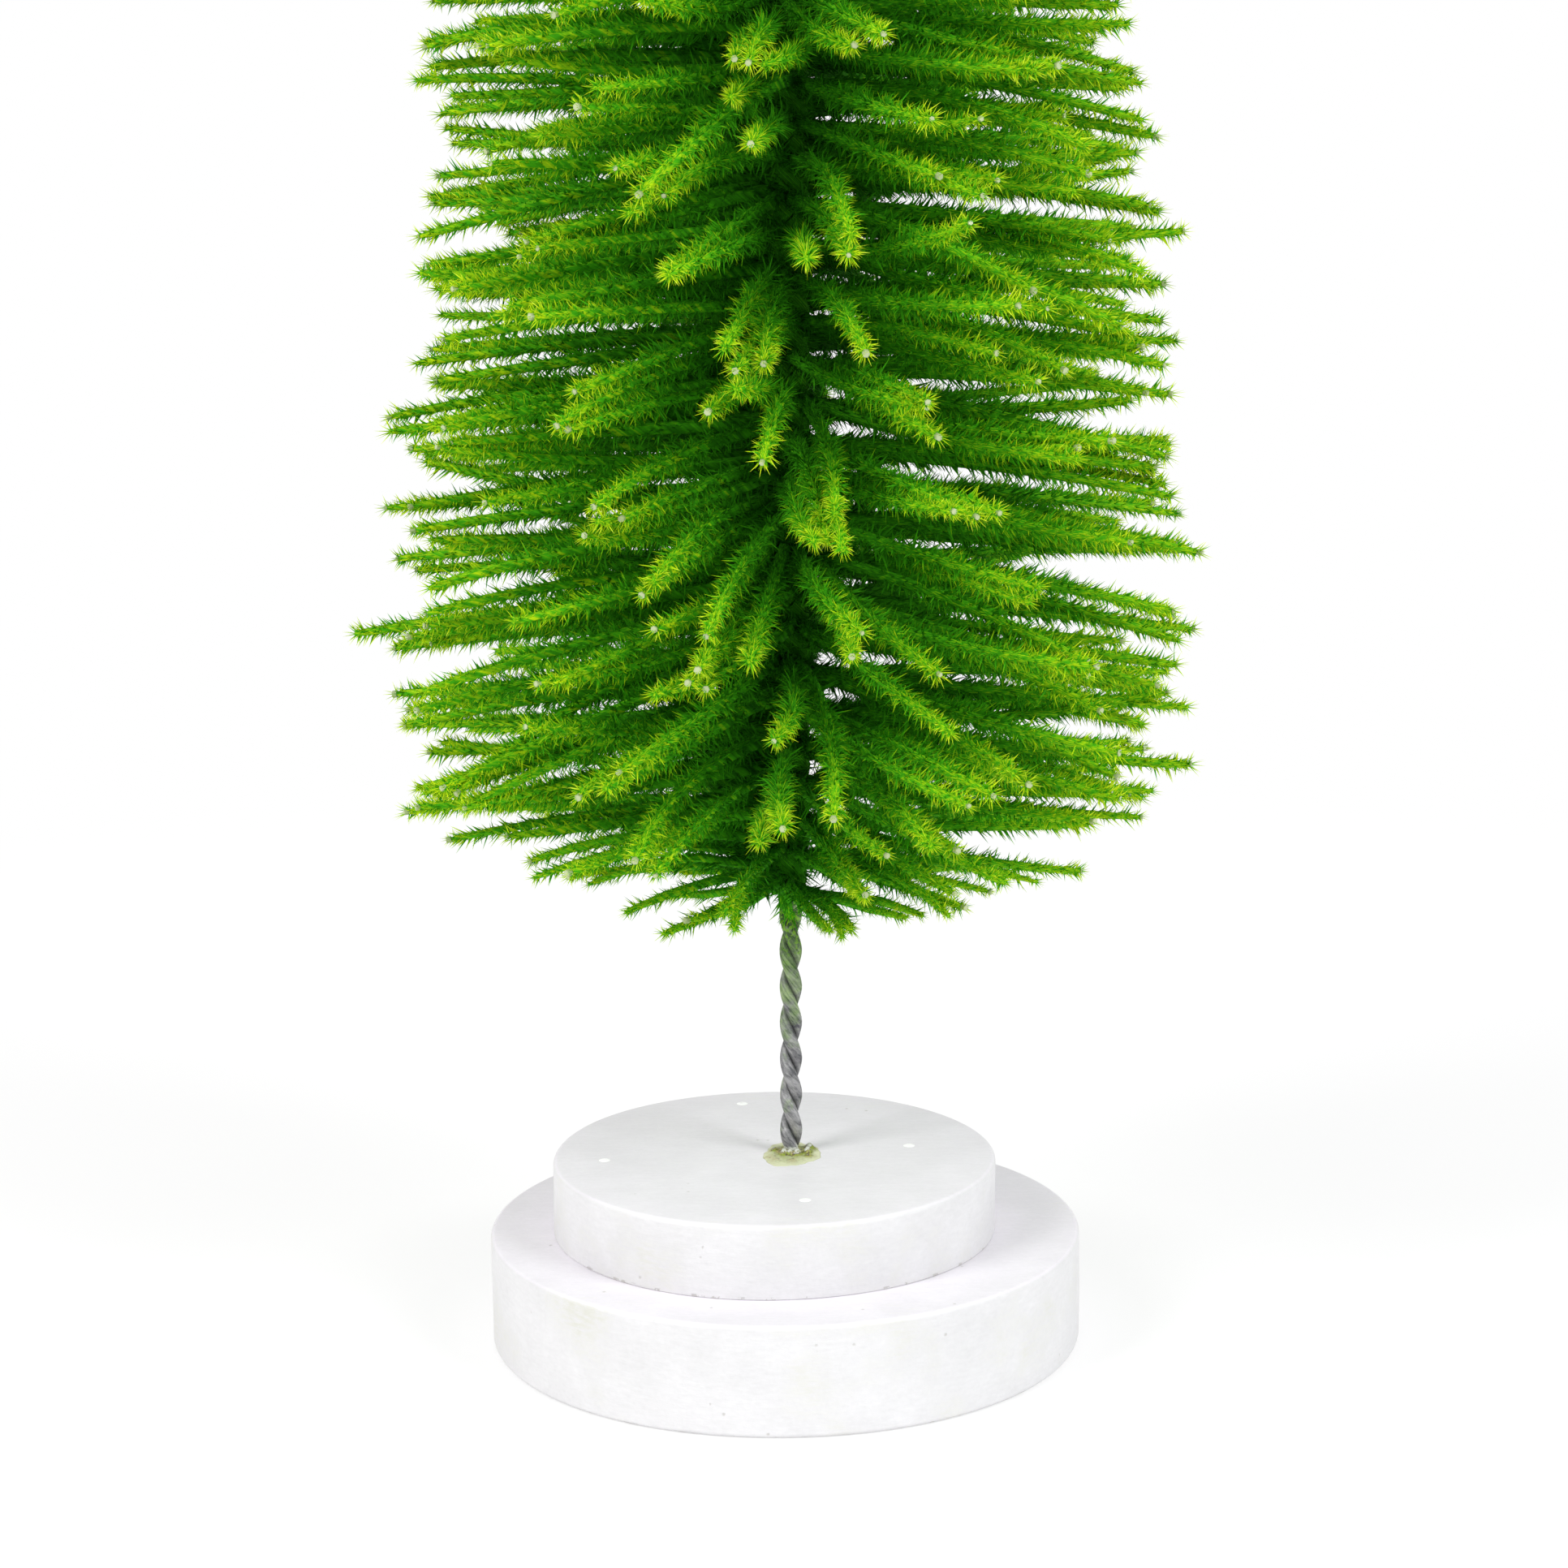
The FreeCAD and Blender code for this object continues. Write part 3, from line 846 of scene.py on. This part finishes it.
def straight_branches(height, chance, shortened, fan_wander, least_wander, most_wander):
    """Root, shoulder and tip of a filament's two branches, before a tuft pulls them."""
    across = math.pi / 2 + TWIST_START - math.tau * height / TWIST_LEAD
    along = heading(across)
    aside = beside(along)
    branches = []
    for way in (1, -1):
        reach = crown_reach(height) * (1 - shortened * chance.random())
        fan = math.radians(fan_wander * chance.uniform(-1, 1))
        sag = math.radians(droop_angle(height) + chance.uniform(least_wander, most_wander))
        root = UPWARD * height
        shoulder = root + along * way * SHOULDER_REACH
        outward = along * way + aside * math.tan(fan) - UPWARD * math.tan(sag)
        free = max(reach - SHOULDER_REACH, LEAST_FREE)
        cut = (shoulder, shoulder + outward * free)
        branches.append((root, *(root.lerp(place, top_share(height)) for place in cut)))
    return branches


def branch_path(root, shoulder, tip, pull, chance):
    """The centre line from the wires to the tip, bowed a little and pulled to a tuft."""
    out = (shoulder - root).normalized()
    bow = beside(out) * chance.uniform(-1, 1) + UPWARD * chance.uniform(*BOW_LIFTS)
    bow *= BENT_BOW if chance.random() < BENT_SHARE else BRANCH_BOW
    path = [root + out * reach for reach in CROOK_PLACES]
    free = (tip - shoulder).length
    count = max(2, round(free / BRANCH_STEP))
    shares = [number / count for number in range(count)]
    shares += [1 - place / free for place in TIP_PLACES]
    for share in sorted(share for share in shares if share >= 0):
        place = shoulder.lerp(tip, share) + pull * share**2
        path.append(place + bow * 4 * share * (1 - share))
    return [tree_place @ place for place in path]


def plan_branches():
    """Every branch's centre line, listed by the turn of the twist that clamps it."""
    count = int((TRUNK_HEIGHT - BARE_LENGTH) / FILAMENT_PITCH)
    plan = []
    for number in range(count):
        first = FILAMENT_PITCH * (number + 0.5)
        turn = int(first / TWIST_LEAD) + 1
        for extra in range(FILAMENTS_TO_A_SOLID):
            height = BARE_LENGTH + first + FILAMENT_PITCH * extra / FILAMENTS_TO_A_SOLID
            chance = random.Random(number + 1000 * extra)
            wander = (REACH_WANDER_SHARE, FAN_WANDER, -DROOP_WANDER, DROOP_WANDER)
            if extra:
                most = EXTRA_DROOP_WANDER * (1 - skirt_depth(height))
                wander = (EXTRA_REACH_WANDER_SHARE, EXTRA_FAN_WANDER, -EXTRA_DROOP_WANDER, most)
            for branch in straight_branches(height, chance, *wander):
                plan.append((turn, extra == 0, branch, chance))
    leaders = [branch[2] for _, leads, branch, _ in plan if leads]
    turns = {}
    for turn, leads, (root, shoulder, tip), chance in plan:
        pull = Vector()
        if not leads:
            nearest = min(leaders, key=lambda other: (other - tip).length_squared)
            gap = (nearest - tip).length
            share = chance.uniform(*TUFT_PULL) * (1 - skirt_depth(root.z))
            pull = (nearest - tip) * max(0.0, min(share, 1 - TUFT_SPACING / gap))
        path = branch_path(root, shoulder, tip, pull, chance)
        reach = [0.0]
        for before, after in zip(path, path[1:]):
            reach.append(reach[-1] + (after - before).length)
        left = [reach[-1] - value for value in reach]
        lot = chance.random()
        turns.setdefault(turn, []).append((path, reach, left, lot, branch_girth(root.z, lot)))
    return turns


def collar_path(turn, way):
    """The pile that crowds the trunk between the branches' roots, on one side of it."""
    top = BARE_LENGTH + TWIST_LEAD * turn
    foot = BARE_LENGTH - COLLAR_SKIRT if turn == 1 else top - TWIST_LEAD
    path, reach, left = [], [], []
    for step in range(COLLAR_STEPS + 1):
        height = top + (foot - top) * step / COLLAR_STEPS
        fullness = min((height - BARE_LENGTH + COLLAR_SKIRT) / COLLAR_FADE, 1.0)
        angle = TWIST_START + math.tau * (way / COLLAR_WAYS - height / TWIST_LEAD)
        radius = COLLAR_RADIUS * (COLLAR_PINCH + (1 - COLLAR_PINCH) * fullness)
        place = heading(angle) * radius + UPWARD * min(height, TRUNK_HEIGHT)
        path.append(tree_place @ place)
        for values, (sparse, full) in ((reach, COLLAR_REACHES), (left, COLLAR_LEFTS)):
            values.append(sparse + (full - sparse) * fullness)
    return path, reach, left, 0.0, 1.0


# The pile is nylon fibre that was blown onto glue, about 2 mm long, dense and swept
# towards the branch's tip. It is lime green. Painted shade darkens it against the stem
# and near the trunk, and painted light brightens it towards the branch's tip. Where a
# tip's fibres leave it bare, the stem's cut end is a pale grey dot.
FLOCK_DIAMETER = 4.85 * MM
SLEEVE_SHARE = 0.37
SLEEVE_SIDES = 5
PILE_SPACING = 0.138 * MM
PILE_WIDTH = 0.25 * MM
PILE_TILT = 0.5
PILE_SWEEP = 1.8 * MM
PILE_LENGTHS = (0.68, 1.08)
PILE_WIDTHS = (0.7, 1.2)
PILE_SWEEPS = (0.15, 1.9)
PILE_SHADES = (0.35, 1.0)
FLAT_SWEEP = 1.7
FLAT_SHARES = (0.2, 0.8)
PILE_STARTS = 3.0 * MM
SPARSE_SHARES = (0.2, 0.6)
SPARSE_PILE = 0.35
CRUSHED_PILE = 0.5
TIP_SWEEP = 0.3
STAR_LENGTH = 3.0 * MM
PRESSED_SHARE = 1.5
PRESSED_FROM = 2.8 * MM
LOOSENS = (12.0 * MM, 46.0 * MM)
SLEEVE_ROOT = 0.35
SLEEVE_TIP = 0.4
SLEEVE_NARROWS = 3.0 * MM
SHAGGY_SHARE = 1.3
SHAGGY_FROM = (8.0 * MM, 25.0 * MM)
LIT_FROM = 0.15
ROOT_LIGHT = 0.24
END_LIGHT = 0.86
TIP_LIGHT = 0.24
LIT_TIP = 20.0 * MM
TONE_MARGIN = 0.04
STEM_DIAMETER = 1.1 * MM
STEM_RADII = (0.36, 0.56)
STEM_LENGTHS = (0.1, 1.0)
STEMS_HIDDEN = 0.35
STAR_FIBRES = 9
STAR_SIZES = (0.42, 0.55)
STAR_LIGHT_TONES = (0.75, 0.95)
STAR_LEANS = [(1.0, 0.15), (0.8, 0.6), (0.42, 0.9)]
STAR_FIBRE_SHARE = 0.058
STAR_FOOT = -0.25
TETRAHEDRON = [(0, 1, 2), (0, 2, 3), (0, 3, 1), (1, 3, 2)]
FLOCK_BRIGHT = (0.8, 0.97, 0.08)
FLOCK_LIME = (0.505, 0.68, 0.004)
FLOCK_MID = (0.057, 0.375, 0.004)
FLOCK_DEEP = (0.001, 0.05, 0.001)
STEM_PALE = (0.44, 0.5, 0.28)
STEM_SHADE = (0.2, 0.3, 0.08)
STREAK_SCALES = (36.0, 90.0, 1.0)
SLEEVE_MAP = (0.03, 0.45)
SLEEVE_MARGIN = 0.02
SLEEVE_LOTS = 0.5
SLEEVE_WIDTH = 0.46
SLEEVE_WAVE = 0.01
STEM_MAP = (0.487, 0.513)
STEM_BAND = (0.48, 0.52)
FIBRE_MAP = (0.54, 0.98)
FIBRE_MAP_WIDTH = 0.006


def make_pile_finish():
    """Colours by the map, which holds sleeves in its lower part and fibres above."""
    bench = new_finish("lime_flock_pile")
    where = bench.add("ShaderNodeUVMap", uv_map="OFBake")
    across = bench.part(where, "X")
    along = across.other("Y")
    # Painted shade: each fibre is darker towards its root.
    fibre_tone = across * bench.spread(along, *FIBRE_MAP, 0.25, 1.0)
    streaks = bench.noise(bench.scaled(where, STREAK_SCALES), 1.0, 3.0, 0.6)
    # Painted shade: the sleeves are darker towards the trunk.
    sleeve_tone = bench.spread(along, *SLEEVE_MAP) * 0.3
    sleeve_tone = sleeve_tone + bench.spread(streaks, 0.4, 0.65) * 0.3
    is_fibre = along.beyond(0.5)
    tone = is_fibre * fibre_tone + (1.0 - is_fibre) * sleeve_tone
    stops = [(0.0, FLOCK_DEEP), (0.33, FLOCK_MID), (0.6, FLOCK_LIME), (0.95, FLOCK_BRIGHT)]
    colour = bench.ramp(tone, stops)
    return bench.finished({"Base Color": colour, "Roughness": 0.8, "Specular IOR Level": 0.1})


def make_stem_finish():
    """Pale nylon, darker round its cut edge."""
    bench = new_finish("pale_stem_end")
    where = bench.add("ShaderNodeUVMap", uv_map="OFBake")
    share = bench.spread(bench.part(where, "Y"), *STEM_MAP)
    colour = bench.ramp(share, [(0.0, STEM_SHADE), (0.7, STEM_PALE), (1.0, STEM_PALE)])
    return bench.finished({"Base Color": colour, "Roughness": 0.35})


def grown_mesh(name, tree, start, values):
    """The plain mesh that the tree grows on the mesh start with these input values."""
    seed = put_in_scene(name, start)
    grower = seed.modifiers.new("grower", "NODES")
    grower.node_group = tree
    for item in tree.interface.items_tree:
        if item.in_out == "INPUT" and item.name in values:
            grower[item.identifier] = values[item.name]
    seen = seed.evaluated_get(bpy.context.evaluated_depsgraph_get())
    mesh = bpy.data.meshes.new_from_object(seen)
    mesh.name = name
    seed.modifiers.remove(grower)
    bpy.data.objects.remove(seed)
    bpy.data.meshes.remove(start)
    return mesh


def pattern_object(name, vertices, faces, across, along):
    """A small solid to be repeated. Each vertex keeps its place in the bake's map."""
    mesh = new_mesh(name, vertices, faces)
    noted(mesh, "across", across)
    noted(mesh, "along", along)
    return bpy.data.objects.new(name, mesh)


def make_fibre_pair():
    """Two fibres that start in the stem and splay to opposite sides, swept forwards."""
    vertices = [(1.0, 0.0, 1.0), (-0.92, 0.0, 0.75)]
    vertices += [(0.0, -0.5, -0.12), (0.0, 0.5, -0.12), (0.0, 0.0, 0.14)]
    faces = [(0, 2, 3), (0, 3, 4), (0, 4, 2), (1, 3, 2), (1, 4, 3), (1, 2, 4)]
    root, end = FIBRE_MAP
    across = [0.0, 0.0, -FIBRE_MAP_WIDTH, FIBRE_MAP_WIDTH, 0.0]
    return pattern_object("fibre_pair", vertices, faces, across, [end, end, root, root, root])


def make_star():
    """The burst of fibres round a branch's tip, which lean from sideways to forwards."""
    vertices, faces, across, along = [], [], [], []
    for number in range(STAR_FIBRES):
        turn = math.tau * number * (3 - math.sqrt(5)) / 2
        outward, forward = STAR_LEANS[number % len(STAR_LEANS)]
        out = heading(turn)
        tip = out * outward + UPWARD * forward
        foot = UPWARD * STAR_FOOT
        aside = beside(out) * STAR_FIBRE_SHARE
        start = len(vertices)
        vertices += [tip, foot - aside, foot + aside, foot + UPWARD * 2 * STAR_FIBRE_SHARE]
        faces += [(start + a, start + b, start + c) for a, b, c in TETRAHEDRON]
        across += [0.0, -FIBRE_MAP_WIDTH, FIBRE_MAP_WIDTH, 0.0]
        along += [FIBRE_MAP[1]] + [FIBRE_MAP[0]] * 3
    return pattern_object("fibre_star", vertices, faces, across, along)


def make_stem_end():
    sides = 6
    ring = [math.tau * n / sides for n in range(sides)]
    vertices = [(math.cos(a), math.sin(a), -1.0) for a in ring]
    vertices += [(math.cos(a), math.sin(a), 1.0) for a in ring]
    vertices.append((0.0, 0.0, 1.05))
    faces = [tuple(reversed(range(sides)))]
    for n in range(sides):
        after = (n + 1) % sides
        faces.append((n, after, sides + after, sides + n))
        faces.append((sides + n, sides + after, 2 * sides))
    around = [0.1 + 0.8 * abs(2 * n / sides - 1) for n in range(sides)]
    low, high = STEM_MAP
    middle = (low + high) / 2
    along = [low + 0.002 * (n % 3) for n in range(sides)] + [middle] * sides + [high]
    return pattern_object("stem_end", vertices, faces, around * 2 + [0.5], along)


def stored(bench, geometry, name, value, domain="POINT", kind="FLOAT"):
    sockets = {"Geometry": geometry, "Name": name, "Value": value}
    return bench.add("GeometryNodeStoreNamedAttribute", sockets, data_type=kind, domain=domain)


def named(bench, name):
    return bench.add("GeometryNodeInputNamedAttribute", {0: name}, data_type="FLOAT")


def by_chance(bench, low, high, seed):
    sockets = {2: low, 3: high, 8: seed}
    return bench.add("FunctionNodeRandomValue", sockets, 1, data_type="FLOAT")


def joined(bench, parts):
    whole = bench.add("GeometryNodeJoinGeometry")
    for part in parts:
        bench.join(part, whole.socket.node.inputs[0])
    return whole


def repeated_on(bench, places, pattern, tangent, scale, turns=(0.0, 0.0, 0.0), chosen=True):
    """Copies of the pattern at the places, each along the branch and turned from it."""
    lined = bench.add("FunctionNodeAlignRotationToVector", {2: tangent}, axis="Z")
    spin = bench.add("ShaderNodeCombineXYZ", dict(enumerate(turns)))
    spin = bench.add("FunctionNodeEulerToRotation", {0: spin})
    sockets = {0: lined, 1: spin}
    spun = bench.add("FunctionNodeRotateRotation", sockets, rotation_space="LOCAL")
    sockets = {
        "Points": places,
        "Selection": chosen,
        "Instance": bench.add("GeometryNodeObjectInfo", {0: pattern}, "Geometry"),
        "Rotation": spun,
        "Scale": bench.add("ShaderNodeCombineXYZ", dict(enumerate(scale))),
    }
    return bench.add("GeometryNodeInstanceOnPoints", sockets)


def grow_sleeves(bench, given, path):
    """The dense part of the pile, as a tube that narrows at the trunk and at the tip."""
    left = named(bench, "left")
    reach = named(bench, "reach")
    taper = bench.spread(reach, 0.0, PRESSED_FROM, SLEEVE_ROOT, PRESSED_SHARE)
    taper = taper * bench.spread(reach, *LOOSENS, 1.0, 1.0 / PRESSED_SHARE)
    taper = taper * bench.spread(left, 0.0, SLEEVE_NARROWS, SLEEVE_TIP, 1.0)
    taper = taper * named(bench, "girth")
    radius = given["Flock Diameter"] * given["Sleeve Share"] * 0.5
    sockets = {"Resolution": given["Sleeve Sides"], "Radius": radius}
    section = bench.add("GeometryNodeCurvePrimitiveCircle", sockets)
    round_it = bench.add("GeometryNodeSplineParameter")
    section = stored(bench, section, "round_it", round_it)
    sockets = {"Curve": path, "Profile Curve": section, "Scale": taper, "Fill Caps": True}
    sleeve = bench.add("GeometryNodeCurveToMesh", sockets)
    sleeve = bench.add("GeometryNodeSetShadeSmooth", {0: sleeve})
    turn = named(bench, "round_it")
    fold = 1.0 - (turn * 2.0 - 1.0).worked("ABSOLUTE")
    wave = (turn * math.tau).worked("SINE")
    out = reach / (reach + left)
    low, high = SLEEVE_MAP
    lot = named(bench, "lot") * SLEEVE_LOTS + SLEEVE_MARGIN
    sleeve = stored(bench, sleeve, "tone", lot)
    sleeve = stored(bench, sleeve, "across", fold * SLEEVE_WIDTH)
    return stored(bench, sleeve, "along", out * (high - low) + low + wave * SLEEVE_WAVE)


def grow_fibres(bench, given, path):
    """The loose outer pile, thin on the inner part of each branch."""
    seed = given["Seed"]
    sockets = {"Curve": path, "Length": given["Pile Spacing"]}
    points = bench.add("GeometryNodeCurveToPoints", sockets, mode="LENGTH")
    reach = named(bench, "reach")
    left = named(bench, "left")
    out = reach / (reach + left)
    wanted = bench.spread(out, *SPARSE_SHARES, SPARSE_PILE, 1.0)
    wanted = wanted * reach.beyond(PILE_STARTS) * left.beyond(STEM_SHOWS)
    bare = by_chance(bench, 0.0, 1.0, seed).beyond(wanted)
    sockets = {"Geometry": points, "Selection": bare}
    kept = bench.add("GeometryNodeDeleteGeometry", sockets, domain="POINT")
    crushed = bench.spread(reach, 0.0, SHOULDER_REACH, CRUSHED_PILE, 1.0)
    swept = bench.spread(left, 0.0, STAR_LENGTH, TIP_SWEEP, 1.0)
    flat = bench.spread(out, *FLAT_SHARES, FLAT_SWEEP, 1.0)
    shaggy = bench.spread(left, *SHAGGY_FROM, 1.0, SHAGGY_SHARE)
    radial = given["Flock Diameter"] * 0.5 * crushed * shaggy * named(bench, "girth")
    scale = [
        radial * by_chance(bench, *PILE_LENGTHS, seed + 1),
        given["Pile Width"] * by_chance(bench, *PILE_WIDTHS, seed + 2),
        given["Pile Sweep"] * flat * swept * by_chance(bench, *PILE_SWEEPS, seed + 3),
    ]
    turns = [by_chance(bench, -PILE_TILT, PILE_TILT, seed + more) for more in (12, 13)]
    turns.append(by_chance(bench, 0.0, math.tau, seed + 4))
    pairs = repeated_on(bench, kept, given["Fibre Pair"], points.other("Tangent"), scale, turns)
    # Painted light and shade: darker towards the trunk, brighter over each branch's last part.
    light = bench.spread(out, LIT_FROM, 1.0, ROOT_LIGHT, END_LIGHT)
    light = light + bench.spread(left, 0.0, LIT_TIP, TIP_LIGHT, 0.0)
    tone = light * by_chance(bench, *PILE_SHADES, seed + 5)
    tone = tone * (1 - 2 * TONE_MARGIN) + TONE_MARGIN
    return stored(bench, pairs, "tone", tone, "INSTANCE")


def grow_tips(bench, given, path):
    """The stem's cut end, which stands out by a different amount each time, in its star."""
    seed = given["Seed"]
    last = bench.add("GeometryNodeCurveEndpointSelection", {0: 0, 1: 1})
    is_tip = last * (1.0 - named(bench, "left").beyond(0.1 * MM))
    tangent = bench.add("GeometryNodeInputTangent")
    half = given["Stem Diameter"] * by_chance(bench, *STEM_RADII, seed + 6)
    scale = [half, half, given["Stem Shows"] * by_chance(bench, *STEM_LENGTHS, seed + 7)]
    shown = is_tip * by_chance(bench, 0.0, 1.0, seed + 11).beyond(STEMS_HIDDEN)
    ends = repeated_on(bench, path, given["Stem End"], tangent, scale, chosen=shown)
    ends = stored(bench, ends, "tone", 0.0, "INSTANCE")
    size = given["Flock Diameter"] * by_chance(bench, *STAR_SIZES, seed + 8)
    size = size * named(bench, "girth")
    turns = (0.0, 0.0, by_chance(bench, 0.0, math.tau, seed + 9))
    stars = repeated_on(bench, path, given["Fibre Star"], tangent, [size] * 3, turns, is_tip)
    # Painted light: the tip's star gets a bright tone.
    tone = by_chance(bench, *STAR_LIGHT_TONES, seed + 10)
    stars = stored(bench, stars, "tone", tone, "INSTANCE")
    return joined(bench, [ends, stars])


def make_flock_tree(values):
    """The tree that grows pile on centre lines, with an input for each of the values."""
    tree = bpy.data.node_groups.new("flocked_filament", "GeometryNodeTree")
    kinds = {label: type(value).__name__.title() for label, value in values.items()}
    kinds = {"Geometry": "Geometry"} | kinds
    for label, kind in kinds.items():
        tree.interface.new_socket(label, in_out="INPUT", socket_type=f"NodeSocket{kind}")
    tree.interface.new_socket("Geometry", in_out="OUTPUT", socket_type="NodeSocketGeometry")
    bench = Bench(tree)
    inputs = bench.add("NodeGroupInput")
    given = {label: inputs.other(label) for label in kinds}
    path = bench.add("GeometryNodeMeshToCurve", {0: given["Geometry"]})
    growers = (grow_sleeves, grow_fibres, grow_tips)
    parts = joined(bench, [grow(bench, given, path) for grow in growers])
    solid = bench.add("GeometryNodeRealizeInstances", {0: parts})
    across = named(bench, "tone") + named(bench, "across")
    along = named(bench, "along")
    place = bench.add("ShaderNodeCombineXYZ", {"X": across, "Y": along})
    mapped = stored(bench, solid, "OFBake", place, "CORNER", "FLOAT2")
    sockets = {"Geometry": mapped, "Material": given["Pile Finish"]}
    piled = bench.add("GeometryNodeSetMaterial", sockets)
    is_stem = along.beyond(STEM_BAND[0]) * (1.0 - along.beyond(STEM_BAND[1]))
    sockets = {"Geometry": piled, "Selection": is_stem, "Material": given["Stem Finish"]}
    finished = bench.add("GeometryNodeSetMaterial", sockets)
    bench.add("NodeGroupOutput", {0: finished})
    return tree


def branch_chains(name, branches):
    """The centre lines as one mesh that notes how far each point is from both ends."""
    vertices, edges = [], []
    notes = {"reach": [], "left": [], "lot": [], "girth": []}
    for path, reach, left, lot, girth in branches:
        first = len(vertices)
        edges += [(n, n + 1) for n in range(first, first + len(path) - 1)]
        vertices += path
        values = (reach, left, [lot] * len(path), [girth] * len(path))
        for noting, more in zip(notes.values(), values):
            noting += more
    mesh = new_mesh(name, vertices, edges=edges)
    for note, values in notes.items():
        noted(mesh, note, values)
    return mesh


def make_branches():
    values = {
        "Flock Diameter": FLOCK_DIAMETER,
        "Sleeve Share": SLEEVE_SHARE,
        "Sleeve Sides": SLEEVE_SIDES,
        "Pile Spacing": PILE_SPACING,
        "Pile Width": PILE_WIDTH,
        "Pile Sweep": PILE_SWEEP,
        "Stem Diameter": STEM_DIAMETER,
        "Stem Shows": STEM_SHOWS,
        "Seed": 0,
        "Fibre Pair": make_fibre_pair(),
        "Fibre Star": make_star(),
        "Stem End": make_stem_end(),
        "Pile Finish": make_pile_finish(),
        "Stem Finish": make_stem_finish(),
    }
    tree = make_flock_tree(values)
    for turn, branches in sorted(plan_branches().items()):
        branches += [collar_path(turn, way) for way in range(COLLAR_WAYS)]
        name = f"flocked_turn_{turn:02d}"
        chains = branch_chains(name, branches)
        mesh = grown_mesh(name, tree, chains, values | {"Seed": turn * 100})
        for spare in ("reach", "left", "lot", "girth", "tone", "across", "along", "round_it"):
            if spare in mesh.attributes:
                mesh.attributes.remove(mesh.attributes[spare])
        place_piece(name, mesh, [], "green_flock", f"bristle_turn_{turn:02d}")


make_branches()


bpy.context.view_layer.update()
